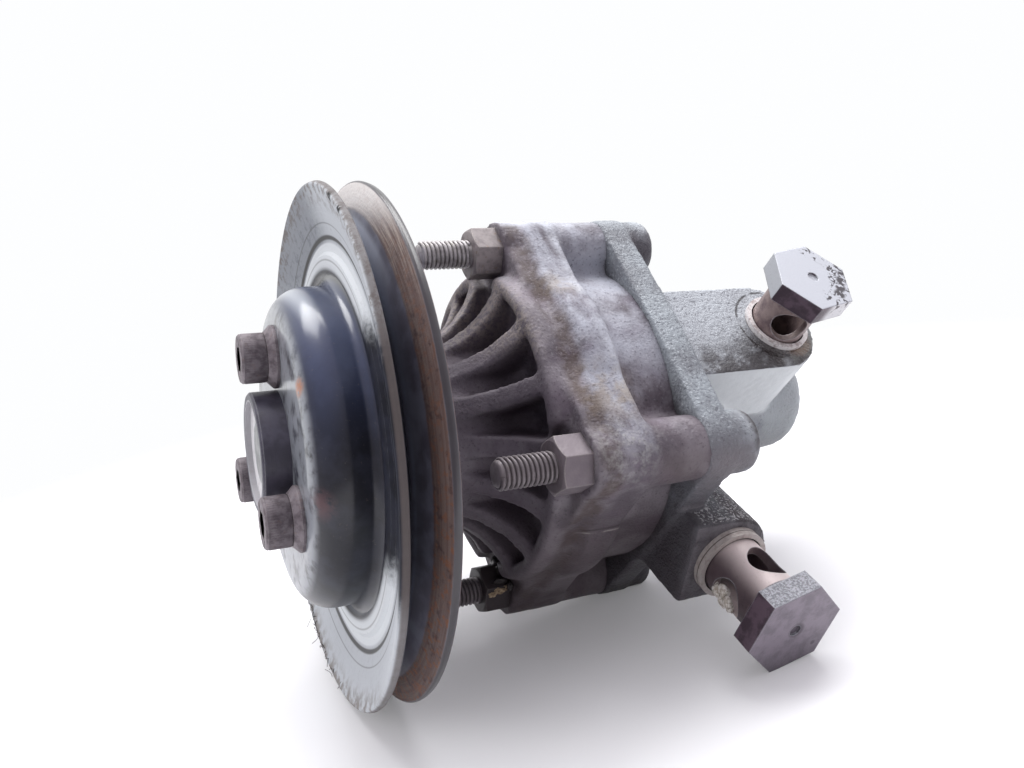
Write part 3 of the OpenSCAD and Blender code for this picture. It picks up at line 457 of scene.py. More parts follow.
def pulley_front(p):
    x, y, z = p.axes()
    radius, rings = ring_place(p, 0.03)
    scratch = rings.noise(0.7, 4, 0.6)
    cloud = p.noise(7, 4)
    mottle = p.noise(2.4, 5, 0.7)
    face = radius.fade(*FLANGE_EDGE) * x.fade(0.4, -0.6)
    colour = mix("#191a22", "#262833", cloud.fade(0.4, 0.65))
    top = (z + mottle * 10).fade(33, 50)
    bottom = (z - mottle * 10).fade(-17, -36)
    far_side = y.fade(-10, 14)
    # The face is worn, and a pale reflection is painted on it at the top, at the bottom and on the far
    # side; the far side is painted a darker grey.
    reflection_and_wear = face * (top + bottom + far_side).fade(0.0, 0.9)
    colour = mix(colour, "#9ca1a6", reflection_and_wear * (0.75 + scratch * 0.25))
    colour = mix(colour, "#5f636b", reflection_and_wear * (far_side * 0.6 + mottle.fade(0.5, 0.66) * 0.5))
    # Painted reflection: palest at the top and at the bottom.
    pale = (bottom + top).fade(0.0, 1.0) * (1 - far_side * top * 0.8)
    colour = mix(colour, "#c9ced2", reflection_and_wear * pale * 0.65)
    # A brighter painted reflection on the rubbed inner ring.
    inner = radius.span(*RUBBED_RING, 0.4) * reflection_and_wear
    colour = mix(colour, "#dce1e3", inner * (0.7 + scratch * 0.25))
    # Painted shade along the creases and steps of the pressed sheet.
    crease_shade = radius.span(54.8, 56.0, 0.3) + radius.span(59.0, 59.3, 0.2) * 0.6
    crease_shade = crease_shade + radius.span(49.4, 49.8, 0.25) * 0.5
    colour = mix(colour, "#33312f", face * crease_shade * (0.5 + reflection_and_wear * 0.4))
    dirt = face * radius.fade(62.5, 68.5) * p.noise(2.8, 3, 0.55).fade(0.4, 0.6) * z.fade(-42, -62)
    colour = mix(colour, "#77706b", dirt * 0.85)
    soil = face * radius.fade(62, 68) * mottle.fade(0.46, 0.6) * top
    colour = mix(colour, "#6b625c", soil * 0.7)
    colour = mix(colour, "#0c0c0e", p.spots(NICKS) * p.noise(1.1, 3).fade(0.36, 0.48))
    rim = radius.fade(*RIM_EDGE)
    colour = mix(colour, "#625b59", rim * (0.65 + mottle * 0.3))
    cup = radius.fade(*CUP_EDGE)
    # A blue painted reflection of the sky on the upper side of the cup.
    sky_reflection = cup * p.facing((-0.3, -0.3, 0.9)).fade(0.45, 0.95)
    colour = mix(colour, "#3d486a", sky_reflection * (0.5 + cloud * 0.4))
    # A painted highlight on the top of the cup's shoulder.
    shoulder_highlight = cup * p.facing((-0.25, 0, 1)).fade(0.8, 1.0) * x.fade(-9, -14)
    colour = mix(colour, "#b4bbc4", shoulder_highlight * 0.75)
    front = x.fade(*CUP_FACE) * cup
    colour = mix(colour, "#9a9fa6", front * p.noise(4, 4).fade(0.26, 0.56) * 0.75)
    dusty = p.noise(1.2, 4, 0.7).fade(0.62, 0.7)
    colour = mix(colour, "#6c6660", dusty * 0.2)
    rust = p.near(*RUST_SPOT)
    colour = mix(colour, "#a4602f", rust * p.noise(1, 3).fade(0.3, 0.5) * 0.85)
    colour = mix(colour, "#5b3d40", p.near(*BROWN_STAIN) * mottle.fade(0.36, 0.55) * 0.7)
    edge = p.edges(0.8) * p.noise(2, 3).fade(0.35, 0.6)
    colour = mix(colour, "#8d8f92", edge * face * 0.4)
    coat = cup * (1 - dusty * 0.5) * (1 - z.fade(4, -22) * 0.55)
    rough = 0.36 + 0.14 * face + 0.2 * dusty + 0.1 * cloud
    normal = p.bump(scratch * face + p.noise(0.8, 3) * 0.25, 0.07)
    return {"Base Color": colour, "Roughness": rough, "Normal": normal, "Coat Weight": coat}


def pulley_rear(p):
    z = p.axes()[2]
    radius, rings = ring_place(p, 0.05)
    scratch = rings.noise(0.8, 5, 0.7)
    patch = p.noise(3.5, 5, 0.65)
    colour = mix("#585561", "#6e6f7c", p.noise(6, 4).fade(0.4, 0.65))
    # Painted sheen on the belt face of the groove, brighter higher up, with a painted highlight near its
    # top and a sheen along one ring.
    colour = mix(colour, "#8a8fa2", radius.fade(60.5, 56.5) * z.fade(-30, 45) * (0.4 + scratch * 0.6))
    colour = mix(colour, "#b3b7c4", radius.fade(62, 60) * z.fade(40, 56) * 0.75)
    sheen = radius.span(56.2, 57.2, 0.5) * patch.fade(0.3, 0.6)
    colour = mix(colour, "#8a90a3", sheen * 0.6)
    band = radius.fade(*RUST_START) * radius.fade(*RUST_END)
    rust = (band + patch * 0.5 - 0.3).fade(0.3, 0.8) * band
    colour = mix(colour, "#5b453e", rust * 0.9)
    # The rust is painted paler towards the top as a highlight, nearly white at the very top; its orange and
    # dark spots fade there.
    high = z.fade(38, 60)
    colour = mix(colour, "#a89c92", rust * scratch.fade(0.42, 0.66) * (0.2 + high * 0.75))
    colour = mix(colour, "#dcd9d6", rust * z.fade(54, 66) * 0.85)
    orange = p.noise(1.6, 4).fade(0.5, 0.64) * (0.35 + z.fade(30, -40) * 0.5) * (1 - high * 0.7)
    colour = mix(colour, "#7c4d32", rust * orange)
    colour = mix(colour, "#35262a", rust * p.noise(2.4, 4).fade(0.54, 0.7) * (1 - high) * 0.7)
    rim = radius.fade(*RIM_EDGE)
    # The rim is dark, with painted shade making it darker towards the bottom.
    colour = mix(colour, mix("#353134", "#272326", z.fade(-10, -45)), rim * 0.92)
    edge = p.edges(0.9) * patch.fade(0.35, 0.6)
    colour = mix(colour, "#9f9a98", edge * rim * 0.5)
    rough = 0.28 + 0.4 * rust
    normal = p.bump(scratch * 0.5 + p.noise(0.9, 3) * rust, 0.12)
    return {"Base Color": colour, "Roughness": rough, "Normal": normal}


finish("pulley_paint", pulley_front, specular_ior_level=0.2, coat_roughness=0.2, coat_ior=1.45)
finish("pulley_rust", pulley_rear, specular_ior_level=0.6)
print("pulley: worn front face, glossy cup, rusty rear flange")

# %% [markdown]
# ## Hub, screws, bolts and inner pieces
#
# The hub is machined steel, blued by age. Screws and hollow bolts were phosphated dark and are now
# brown-grey; oil has splashed on the upper head. The nuts still show some zinc. The pieces inside the
# castings are plain metal and rubber. The faces of the bolt heads and the lower bolt are painted as lit or
# shaded, and the screws, studs, nuts, bolts, washers and inner metal carry painted shade in their corners.

# %% Finishes of the steel pieces
HUB_DISC = (14.1, 13.5)
PORT_SPLIT = (106, 112)
WASHER_SPLIT = (106, 100)
UPPER_HEAD = (74.6, 75.2)
LOWER_HEAD = (-75.6, -76.2)
WASHER_JOINT = (57.45, 57.75)
DIMPLES = (((92.4, -73.4, -43.2), 2.4, 0.6), ((99.9, -72.1, -49.2), 0.7, 0.3))
SPLASHES = (((135.6, -42, 41.6), 6, 3), ((129, -47.6, 35.8), 5, 2.5), ((130, -35, 48.5), 4, 2.5))
BRINKS = (((130.2, -46.6, 36.8), 1.6, 0.8), ((132.2, -44.9, 38.6), 1.6, 0.8),
          ((134.2, -43.2, 40.4), 1.6, 0.8), ((136, -41.6, 42), 1.4, 0.7))


def hub(p):
    radius, rings = ring_place(p, 0.02)
    turned = rings.noise(0.5, 4, 0.6)
    disc = radius.fade(*HUB_DISC)
    colour = mix("#3f3d48", "#4f4d5a", p.noise(5, 3).fade(0.4, 0.65))
    colour = mix(colour, "#e2e1e3", disc * 0.9)
    colour = mix(colour, "#8b8580", disc * p.noise(2.5, 4).fade(0.5, 0.66) * 0.4)
    colour = mix(colour, "#b6b8bc", p.edges(0.8) * 0.8)
    rough = 0.32 + 0.2 * p.noise(3, 3)
    return {"Base Color": colour, "Roughness": rough, "Normal": p.bump(turned, 0.06, 0.4)}


def dark_screw(p):
    patch = p.noise(2.2, 4, 0.6)
    colour = mix("#7e767b", "#5f575c", patch.fade(0.4, 0.65))
    colour = mix(colour, "#7a6660", p.noise(1.4, 4).fade(0.58, 0.7) * 0.4)
    colour = mix(colour, "#a7a3a0", p.edges(0.5) * 0.6)
    # Painted shade in corners.
    colour = mix(colour, "#1a1616", p.crevice_shade(2.5).fade(0.35, 0.9) * 0.8)
    rough = 0.45 + 0.25 * patch
    return {"Base Color": colour, "Roughness": rough, "Normal": p.bump(p.noise(0.5, 3), 0.08, 0.3)}


def plated_stud(p):
    patch = p.noise(2.5, 4, 0.6)
    colour = mix("#c6c2c3", "#9d9899", patch.fade(0.42, 0.64))
    colour = mix(colour, "#8b8873", p.noise(4, 3).fade(0.5, 0.66) * 0.4)
    colour = mix(colour, "#6a6165", p.axes()[2].fade(40, 12) * 0.8)
    # Painted shade between the threads.
    colour = mix(colour, "#332c2e", p.crevice_shade(1.5).fade(0.35, 0.95) * 0.7)
    rough = 0.35 + 0.25 * patch
    return {"Base Color": colour, "Roughness": rough, "Metallic": 0.45 - patch * 0.3}


def plated_nut(p):
    z = p.axes()[2]
    patch = p.noise(2.6, 4, 0.6)
    colour = mix("#989090", "#7d7577", patch.fade(0.4, 0.66))
    colour = mix(colour, "#655e5e", p.facing((0, 0, 1)).fade(0.5, 0.9) * 0.85)
    colour = mix(colour, "#7d5f42", p.noise(1.6, 4).fade(0.6, 0.72) * 0.5)
    colour = mix(colour, "#736a70", z.fade(34, 14) * (0.7 + patch * 0.4))
    low = z.fade(-20, -40)
    colour = mix(colour, "#241d1c", low * 0.85)
    colour = mix(colour, "#c8c3bb", p.edges(0.6) * (1 - low * 0.6) * 0.6)
    # Painted shade in corners.
    colour = mix(colour, "#1d1817", p.crevice_shade(3).fade(0.35, 0.9) * 0.8)
    rough = 0.38 + 0.25 * patch
    return {"Base Color": colour, "Roughness": rough, "Metallic": 0.3 - low * 0.25,
            "Normal": p.bump(p.noise(0.7, 3), 0.08, 0.5)}


def hollow_bolt(p):
    x, y, z = p.axes()
    patch = p.noise(4, 4, 0.6)
    grain = p.noise(0.55, 3, 0.6)
    upper = x.fade(*PORT_SPLIT)
    lower = 1 - upper
    lower_place = y * SUCTION_ASIDE + z * SUCTION_DOWN
    head = upper * (z - y).fade(*UPPER_HEAD) + lower * lower_place.fade(*LOWER_HEAD)
    colour = mix("#8a7a77", "#6a5a5c", patch.fade(0.4, 0.65))
    # Painted highlight on the faces of the lower bolt that look up.
    colour = mix(colour, "#d8cbc9", lower * p.facing((0.4, -0.05, 0.9)).fade(-0.35, 0.65) * 0.9)
    shaded = p.facing((-0.75, 0.3, -0.55)).fade(-0.35, 0.5)
    colour = mix(colour, "#3f333a", shaded * lower * (1 - head) * 0.85)
    # The faces of the heads are painted as lit or shaded: this dark colour is the shaded one, and the lit
    # faces are painted paler below.
    side = mix("#574853", "#3d313a", patch.fade(0.4, 0.6))
    colour = mix(colour, side, head)
    # Painted highlight on the top face of the upper head.
    top = p.facing(PRESSURE_AXIS).fade(0.9, 0.98) * upper * head
    colour = mix(colour, "#cdd1d8", top)
    # Painted light on the left face of the upper head.
    left = p.facing((-0.92, 0.25, 0.25)).fade(0.6, 0.85) * upper * head
    colour = mix(colour, "#adb1b6", left * 0.9)
    # Painted light on the near face of the upper head that looks down.
    lit_near_face = p.facing((0.17, -0.7, -0.7)).fade(0.85, 0.96) * upper * head * x.fade(123, 127)
    colour = mix(colour, "#d5d5d8", lit_near_face * 0.9)
    low_face = p.facing(SUCTION_AXIS).fade(0.9, 0.98) * lower * head
    colour = mix(colour, mix("#8a818c", "#777079", patch.fade(0.35, 0.65)), low_face)
    # Painted shade: the face of the lower head is darker towards its bottom.
    colour = mix(colour, "#4d4650", low_face * z.fade(-40, -62) * 0.7)
    # Painted shade in the dimples of the lower head.
    colour = mix(colour, "#463f49", p.spots(DIMPLES) * lower * head * 0.75)
    sandy = head * lower * p.facing((-0.2, -0.33, 0.92)).fade(0.75, 0.92)
    colour = mix(colour, mix("#5d5e65", "#8f9097", grain.fade(0.4, 0.62)), sandy)
    splash = p.spots(SPLASHES).fade(0.3, 1.0) * p.noise(2.0, 3, 0.6, 1.2).fade(0.56, 0.6)
    splash = (splash + p.spots(BRINKS) * p.noise(1.6, 3).fade(0.36, 0.5)).fade(0.0, 0.9)
    colour = mix(colour, "#2a1f26", splash * upper * head * 0.9)
    colour = mix(colour, "#c9ccd2", p.edges(0.7) * (0.3 + sandy * 0.4))
    colour = mix(colour, "#33282d", p.noise(0.9, 4, 0.7).fade(0.6, 0.72) * (1 - top) * 0.3)
    # Painted shade in corners.
    colour = mix(colour, "#1d1517", p.crevice_shade(4).fade(0.5, 0.95) * 0.65)
    rough = 0.34 + 0.25 * patch
    return {"Base Color": colour, "Roughness": rough, "Normal": p.bump(grain, 0.07, 0.5)}


def seal_washer(p):
    x, y, z = p.axes()
    patch = p.noise(1.5, 4, 0.6)
    lower = x.fade(*WASHER_SPLIT)
    colour = mix("#ebe7e6", "#b5aaa8", patch.fade(0.46, 0.68))
    colour = mix(colour, "#9b918a", lower * 0.7)
    meeting = (y * -SUCTION_ASIDE - z * SUCTION_DOWN).span(*WASHER_JOINT, 0.15) * lower
    colour = mix(colour, "#3a2f2b", meeting * 0.85)
    # Painted shade in corners.
    colour = mix(colour, "#4c3d34", p.crevice_shade(2.5).fade(0.35, 0.85) * 0.8)
    return {"Base Color": colour, "Roughness": 0.35 + 0.2 * patch, "Metallic": 0.4 - patch * 0.2}


def plain_metal(pale, deep):
    def make(p):
        patch = p.noise(3, 4, 0.6)
        colour = mix(pale, deep, patch.fade(0.4, 0.65))
        # Painted shade in corners.
        colour = mix(colour, "#2a2624", p.crevice_shade(3).fade(0.4, 0.9) * 0.6)
        return {"Base Color": colour, "Roughness": 0.25 + 0.2 * patch}
    return make


def oiled_rubber(p):
    patch = p.noise(2, 4)
    colour = mix("#1b1918", "#2c2826", patch.fade(0.4, 0.65))
    return {"Base Color": colour, "Roughness": 0.45 + 0.2 * patch}


finish("hub_steel", hub)
finish("black_screws", dark_screw, metallic=0.3)
finish("plated_studs", plated_stud)
finish("plated_nuts", plated_nut)
finish("dark_bolts", hollow_bolt, metallic=0.2)
finish("seal_washers", seal_washer)
finish("ground_steel", plain_metal("#a8a9ab", "#8a8b8d"), metallic=0.9)
finish("bearing_steel", plain_metal("#c2c4c6", "#a6a8aa"), metallic=0.95)
finish("cage_brass", plain_metal("#a8824a", "#8a683a"), metallic=0.8)
finish("spring_steel", plain_metal("#85878a", "#66686b"), metallic=0.8)
finish("plate_iron", plain_metal("#8d8f92", "#6f7174"), metallic=0.7)
finish("seal_rubber", oiled_rubber)
finish("plug_steel", plain_metal("#5a5557", "#403c3d"), metallic=0.5)
print("finishes:", len(finishes))

# %% [markdown]
# ## Give each solid its finish
#
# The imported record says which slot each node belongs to, so the finishes find their nodes by themselves.

# %% Finishes on the solids
def dress(piece, slot):
    piece.data.materials.clear()
    piece.data.materials.append(finishes[slot])


slot_of = {entry["node"]: entry["material_slot"] for entry in frame["record"]["subparts"]}
for name, solid in nodes.items():
    dress(solid, slot_of[name])
print("dressed:", len(slot_of), "nodes")

# %% [markdown]
# ## Cast roundness
#
# Sand castings have no sharp edge and no sharp corner. A voxel remesh of the solid, smoothed a little,
# rounds ribs into bosses the way molten metal does, without drawing a fillet at each corner. The two
# halves lap a little at their joint, so that the rounding leaves no open groove there, and a noise along
# the normals gives each its skin: wavy in front, pebbled at the rear.

# %% Rounded castings
WELD = 0.002 * MM
CAST_VOXEL = 0.9 * MM
CAST_PASSES = 4
CAST_SOFTNESS = 0.5
JOINT_PLACE = 78 * MM
JOINT_SLACK = 0.01 * MM
JOINT_LAP = 0.6 * MM


def keep_modifiers(piece):
    """Puts the result of a piece's modifiers in its mesh."""
    graph = bpy.context.evaluated_depsgraph_get()
    made = bpy.data.meshes.new_from_object(piece.evaluated_get(graph))
    piece.modifiers.clear()
    piece.data = made


def link_piece(name, bm):
    """Makes an object from a bmesh, smooth shaded."""
    mesh = bpy.data.meshes.new(name)
    bm.to_mesh(mesh)
    bm.free()
    mesh.polygons.foreach_set("use_smooth", [True] * len(mesh.polygons))
    piece = bpy.data.objects.new(name, mesh)
    bpy.context.scene.collection.objects.link(piece)
    return piece


def copy_solid(node):
    """A bmesh of a node's solid, with doubled points merged."""
    bm = bmesh.new()
    bm.from_mesh(nodes[node].data)
    bmesh.ops.remove_doubles(bm, verts=bm.verts, dist=WELD)
    return bm


def stand_for(piece, node, body):
    """A made piece takes a node's place, body and finish."""
    dress(piece, slot_of[node])
    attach(piece, body)
    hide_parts(node)


def roughen(piece, size, depth):
    """Raises and sinks the skin along its normals by a noise, both in millimetres."""
    bm = bmesh.new()
    bm.from_mesh(piece.data)
    bm.normal_update()
    for vert in bm.verts:
        vert.co += vert.normal * noise.noise(vert.co / (size * MM)) * depth * MM
    bm.to_mesh(piece.data)
    bm.free()


def round_casting(node, name, lap, skin):
    """A softened copy of a casting; its joint face moves by lap, its skin is (size, depth)."""
    bm = copy_solid(node)
    joint = [v for v in bm.verts if abs(v.co.x - JOINT_PLACE) < JOINT_SLACK]
    bmesh.ops.translate(bm, vec=(lap, 0, 0), verts=joint)
    piece = link_piece(name, bm)
    voxels = piece.modifiers.new("sand", "REMESH")
    voxels.mode = "VOXEL"
    voxels.voxel_size = CAST_VOXEL
    voxels.use_smooth_shade = True
    soft = piece.modifiers.new("soft", "SMOOTH")
    soft.factor = CAST_SOFTNESS
    soft.iterations = CAST_PASSES
    keep_modifiers(piece)
    roughen(piece, *skin)
    stand_for(piece, node, "housing")
    return piece


FRONT_SKIN = (4.0, 0.14)
REAR_SKIN = (1.7, 0.15)
for node, lap, skin in (("front_housing", JOINT_LAP, FRONT_SKIN), ("rear_housing", -JOINT_LAP, REAR_SKIN)):
    made = round_casting(node, node + "_cast", lap, skin)
    print(made.name, len(made.data.polygons), "faces")

# %% [markdown]
# ## Threads
#
# A screw thread is one ridge wound round a rod. Spinning a small closed outline while it also moves
# along the axis by one pitch per turn winds that ridge, as a lathe does.

# %% Threaded studs
STUD_ANGLES = (0, 90, 180, 270)
STUD_CIRCLE = 50 * MM
STUD_TIP = 22.2
STUD_STEP = 36.9
STUD_END = 91.0
STUD_RADIUS = 3.84
TIP_NARROWER = 0.6
TIP_LENGTH = 0.7
THREAD_START = STUD_TIP + 0.1
THREAD_STOP = STUD_STEP + 0.6
THREAD_PITCH = 1.25
THREAD_ROOT = 3.4
THREAD_SUNK = 0.1
THREAD_CREST = 4.0
CREST_SHARE = 0.09
POINT_WELD = 0.001 * MM


def turn_body(bm, points, steps=40):
    """Spins (x, radius) points in millimetres about the X axis into a closed body."""
    verts = [bm.verts.new((x * MM, 0, r * MM)) for x, r in points]
    edges = [bm.edges.new(pair) for pair in zip(verts, verts[1:])]
    bmesh.ops.spin(bm, geom=verts + edges, cent=(0, 0, 0), axis=(1, 0, 0), angle=math.tau,
                   steps=steps, use_merge=True)
    bmesh.ops.remove_doubles(bm, verts=bm.verts, dist=POINT_WELD)
    bmesh.ops.recalc_face_normals(bm, faces=bm.faces)


def wind_thread(bm, first, last, steps=24):
    """Winds a ridge about the X axis between two places in millimetres."""
    half_crest = CREST_SHARE * THREAD_PITCH
    middle = first + THREAD_PITCH / 2
    foot = THREAD_ROOT - THREAD_SUNK
    outline = [(first, foot), (middle - half_crest, THREAD_CREST),
               (middle + half_crest, THREAD_CREST), (first + THREAD_PITCH, foot)]
    verts = [bm.verts.new((x * MM, 0, r * MM)) for x, r in outline]
    edges = [bm.edges.new((a, b)) for a, b in zip(verts, verts[1:] + verts[:1])]
    count = int((last - first - THREAD_PITCH) / THREAD_PITCH * steps)
    bmesh.ops.spin(bm, geom=verts + edges, cent=(0, 0, 0), axis=(1, 0, 0),
                   dvec=(THREAD_PITCH / steps * MM, 0, 0), angle=math.tau * count / steps, steps=count)
    rims = [e for e in bm.edges if e.is_boundary]
    bmesh.ops.holes_fill(bm, edges=rims, sides=len(outline))
    bmesh.ops.recalc_face_normals(bm, faces=bm.faces)


def add_copies(whole, single, places):
    """Adds one bmesh to another at each place."""
    mesh = bpy.data.meshes.new("single")
    single.to_mesh(mesh)
    single.free()
    for place in places:
        before = len(whole.verts)
        whole.from_mesh(mesh)
        whole.verts.ensure_lookup_table()
        bmesh.ops.transform(whole, matrix=place, verts=whole.verts[before:])
    bpy.data.meshes.remove(mesh)


def round_the_shaft(angles, distance):
    """Places at a distance from the shaft, at angles in degrees."""
    lift = Matrix.Translation((0, 0, distance))
    return [Matrix.Rotation(math.radians(a), 4, "X") @ lift for a in angles]


def threaded_studs():
    stud = bmesh.new()
    turn_body(stud, [(STUD_TIP, 0), (STUD_TIP, THREAD_ROOT - TIP_NARROWER),
                     (STUD_TIP + TIP_LENGTH, THREAD_ROOT), (STUD_STEP, THREAD_ROOT),
                     (STUD_STEP, STUD_RADIUS), (STUD_END, STUD_RADIUS), (STUD_END, 0)])
    wind_thread(stud, THREAD_START, THREAD_STOP)
    studs = bmesh.new()
    add_copies(studs, stud, round_the_shaft(STUD_ANGLES, STUD_CIRCLE))
    piece = link_piece("threaded_studs", studs)
    stand_for(piece, "mounting_studs", "housing")
    return piece


print("threads:", len(threaded_studs().data.polygons), "faces")

# %% [markdown]
# ## Valve spring
#
# The spring of the flow valve stands between the spool and its plug, and shortens as the spool slides. A
# stiff solid would be cut by the spool. Here a copy of it takes the solid's place and finish, baked where
# it stands; it does not follow the spool.

# %% Spring between spool and plug
SPOOL_WAY = Vector((0, 1, 1)).normalized()


def springy(node, way):
    """A copy of a spring that takes the solid's place and finish, fixed where it stands."""
    bm = copy_solid(node)
    places = [v.co.dot(way) for v in bm.verts]
    piece = link_piece("springy_" + node, bm)
    dress(piece, slot_of[node])
    way * min(places)
    way * max(places)
    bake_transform(piece)
    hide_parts(node)
    return piece


print("spring:", len(springy("valve_spring", SPOOL_WAY).data.polygons), "faces")

# %% [markdown]
# ## Pressed pulley
#
# The two pulley sheets are pressed, so their bends run smoothly. Each sheet follows a middle line from rim
# to hub. Moving that line half a thickness to either side gives a closed outline, and spinning the outline
# about the shaft gives the sheet. The corners of the rim are rolled over.

# %% Pressed pulley sheets
SHEET = 2.2
RIM = 69.63
RIM_PLACE = 5.9
ROOT = 55.0
CUP = 41.7
BEND = 4.0
SHOULDER = 8.0
FACE = -16.7
HUB_BORE = 16.05
RING_DEPTH = 0.9
RING_RAMP = 1.0
RING_GAP = 0.2
NEST_GAP = 0.05
COLLAR = 3
RIM_ROLL = 0.7
RIM_START = 68
RIM_CORNER = 1.4
SHEET_SHARP = math.radians(38)


def arc_line(middle, radius, first, last, steps=16):
    """Points (radius, x) of an arc between two angles in degrees."""
    angles = [math.radians(first + (last - first) * i / steps) for i in range(steps + 1)]
    return [Vector(middle) + Vector((math.cos(a), math.sin(a))) * radius for a in angles]


def beside(line, gap):
    """The line moved sideways by a gap, with mitred corners."""
    sides = [(b - a).orthogonal().normalized() for a, b in zip(line, line[1:])]
    sides = [sides[0], *sides, sides[-1]]
    return [p + (m + n) * gap / (1 + m.dot(n)) for p, m, n in zip(line, sides, sides[1:])]


def press_sheet(name, node, line, steps=160):
    """A sheet spun from its middle line, with a rolled rim."""
    outline = beside(line, SHEET / 2) + beside(line, -SHEET / 2)[::-1]
    bm = bmesh.new()
    verts = [bm.verts.new((x * MM, 0, r * MM)) for r, x in outline]
    edges = [bm.edges.new(pair) for pair in zip(verts, verts[1:] + verts[:1])]
    bmesh.ops.spin(bm, geom=verts + edges, cent=(0, 0, 0), axis=(1, 0, 0), angle=math.tau,
                   steps=steps, use_merge=True)
    bmesh.ops.recalc_face_normals(bm, faces=bm.faces)
    corners = [e for e in bm.edges
               if e.calc_face_angle(0) > RIM_CORNER and e.verts[0].co.yz.length > RIM_START * MM]
    bmesh.ops.bevel(bm, geom=corners, offset=RIM_ROLL * MM, segments=4, profile=0.5,
                    affect="EDGES", material=-1)
    piece = link_piece(name, bm)
    piece.data.set_sharp_from_angle(angle=SHEET_SHARP)
    stand_for(piece, node, "rotating_group")
    return piece


def pulley_lines():
    """Middle lines of the two sheets as (radius, x) in millimetres."""
    half = SHEET / 2
    bend = (CUP + BEND, -half - BEND)
    ring = (ROOT + bend[0]) / 2
    ring_end = bend[0] + RING_GAP
    web = [(RIM, -RIM_PLACE), (ROOT, -half), (ring + RING_RAMP, -half), (ring, -half - RING_DEPTH),
           (ring_end + RING_RAMP, -half - RING_DEPTH), (ring_end, -half)]
    front = [Vector(p) for p in web] + arc_line(bend, BEND, 90, 180)
    front += arc_line((CUP - SHOULDER, FACE + SHOULDER), SHOULDER, 0, -90) + [Vector((HUB_BORE, FACE))]
    nest = SHEET + NEST_GAP
    rear = [Vector((RIM, RIM_PLACE)), Vector((ROOT, nest - half))] + arc_line(bend, BEND + nest, 90, 180)
    rear += [Vector((CUP - nest, bend[1] - COLLAR))]
    return front, rear


front_line, rear_line = pulley_lines()
for name, node, line in (("pressed_front_sheet", "pulley_front_sheet", front_line),
                         ("pressed_rear_sheet", "pulley_rear_sheet", rear_line)):
    print(name, len(press_sheet(name, node, line).data.polygons), "faces")

# %% [markdown]
# ## Knurled cap screws
#
# Three socket-head cap screws hold the pulley. Their heads are knurled with fine ridges along the axis:
# every second side edge of a many-sided cylinder is pulled in a little. The socket is a hexagon with as
# many points as the rim, so that the two loops can be bridged.

# %% Cap screws
SCREW_ANGLES = (0, 120, 240)
SCREW_CIRCLE = 25 * MM
HEAD_FRONT = -26.8
HEAD_BACK = -20.4
HEAD_RADIUS = 6.5
KNURL_DEPTH = 0.22
KNURL_SIDES = 120
SOCKET_SIDES = 6
SOCKET_FLATS = 6
SOCKET_DEPTH = 3.8
SHANK_START = HEAD_BACK - 0.2
SHANK_END = -9.1
SHANK_RADIUS = 3.95
HEAD_SHARP = math.radians(35)


def ring_of(bm, x, radius, sides=KNURL_SIDES):
    """A ring of edges about the X axis."""
    place = Matrix.Translation((x * MM, 0, 0)) @ Matrix.Rotation(math.radians(90), 4, "Y")
    made = bmesh.ops.create_circle(bm, segments=sides, radius=radius * MM, matrix=place)
    return made["verts"]


def edges_between(verts):
    """Edges that lie inside a set of vertices."""
    chosen = set(verts)
    return list({e for v in verts for e in v.link_edges if e.other_vert(v) in chosen})


def cap_screw():
    """One screw as a bmesh: rings of the head are bridged, then the socket is sunk."""
    bm = bmesh.new()
    ring_of(bm, HEAD_FRONT, SOCKET_FLATS / math.sqrt(3), SOCKET_SIDES)
    bmesh.ops.subdivide_edges(bm, edges=bm.edges, cuts=KNURL_SIDES // SOCKET_SIDES - 1)
    socket_edges = list(bm.edges)
    # Rings of the head from back to front: place, radius and depth of the knurl.
    sections = [(HEAD_BACK, HEAD_RADIUS - 0.3, 0), (HEAD_BACK - 0.3, HEAD_RADIUS, KNURL_DEPTH),
                (HEAD_FRONT + 1.1, HEAD_RADIUS, KNURL_DEPTH), (HEAD_FRONT + 0.8, HEAD_RADIUS - 0.12, 0),
                (HEAD_FRONT + 0.5, HEAD_RADIUS - 0.05, 0), (HEAD_FRONT, HEAD_RADIUS - 0.5, 0)]
    loops = []
    for x, radius, knurl in sections:
        verts = ring_of(bm, x, radius)
        if knurl:
            squeeze = (radius - knurl) / radius
            bmesh.ops.scale(bm, vec=(1, squeeze, squeeze), verts=verts[::2])
        loops.append(edges_between(verts))
    for first, second in zip(loops, loops[1:]):
        bmesh.ops.bridge_loops(bm, edges=first + second)
    bmesh.ops.bridge_loops(bm, edges=loops[-1] + socket_edges)
    deep = bmesh.ops.extrude_edge_only(bm, edges=socket_edges)["geom"]
    floor = [v for v in deep if isinstance(v, bmesh.types.BMVert)]
    bmesh.ops.translate(bm, vec=(SOCKET_DEPTH * MM, 0, 0), verts=floor)
    bmesh.ops.contextual_create(bm, geom=edges_between(floor))
    bmesh.ops.contextual_create(bm, geom=loops[0])
    bmesh.ops.recalc_face_normals(bm, faces=bm.faces)
    shank = bmesh.new()
    turn_body(shank, [(SHANK_START, 0), (SHANK_START, SHANK_RADIUS),
                      (SHANK_END, SHANK_RADIUS), (SHANK_END, 0)], 24)
    add_copies(bm, shank, [Matrix.Identity(4)])
    return bm


def cap_screws():
    screws = bmesh.new()
    add_copies(screws, cap_screw(), round_the_shaft(SCREW_ANGLES, SCREW_CIRCLE))
    piece = link_piece("knurled_cap_screws", screws)
    piece.data.set_sharp_from_angle(angle=HEAD_SHARP)
    stand_for(piece, "pulley_screws", "rotating_group")
    return piece


print("cap screws:", len(cap_screws().data.polygons), "faces")

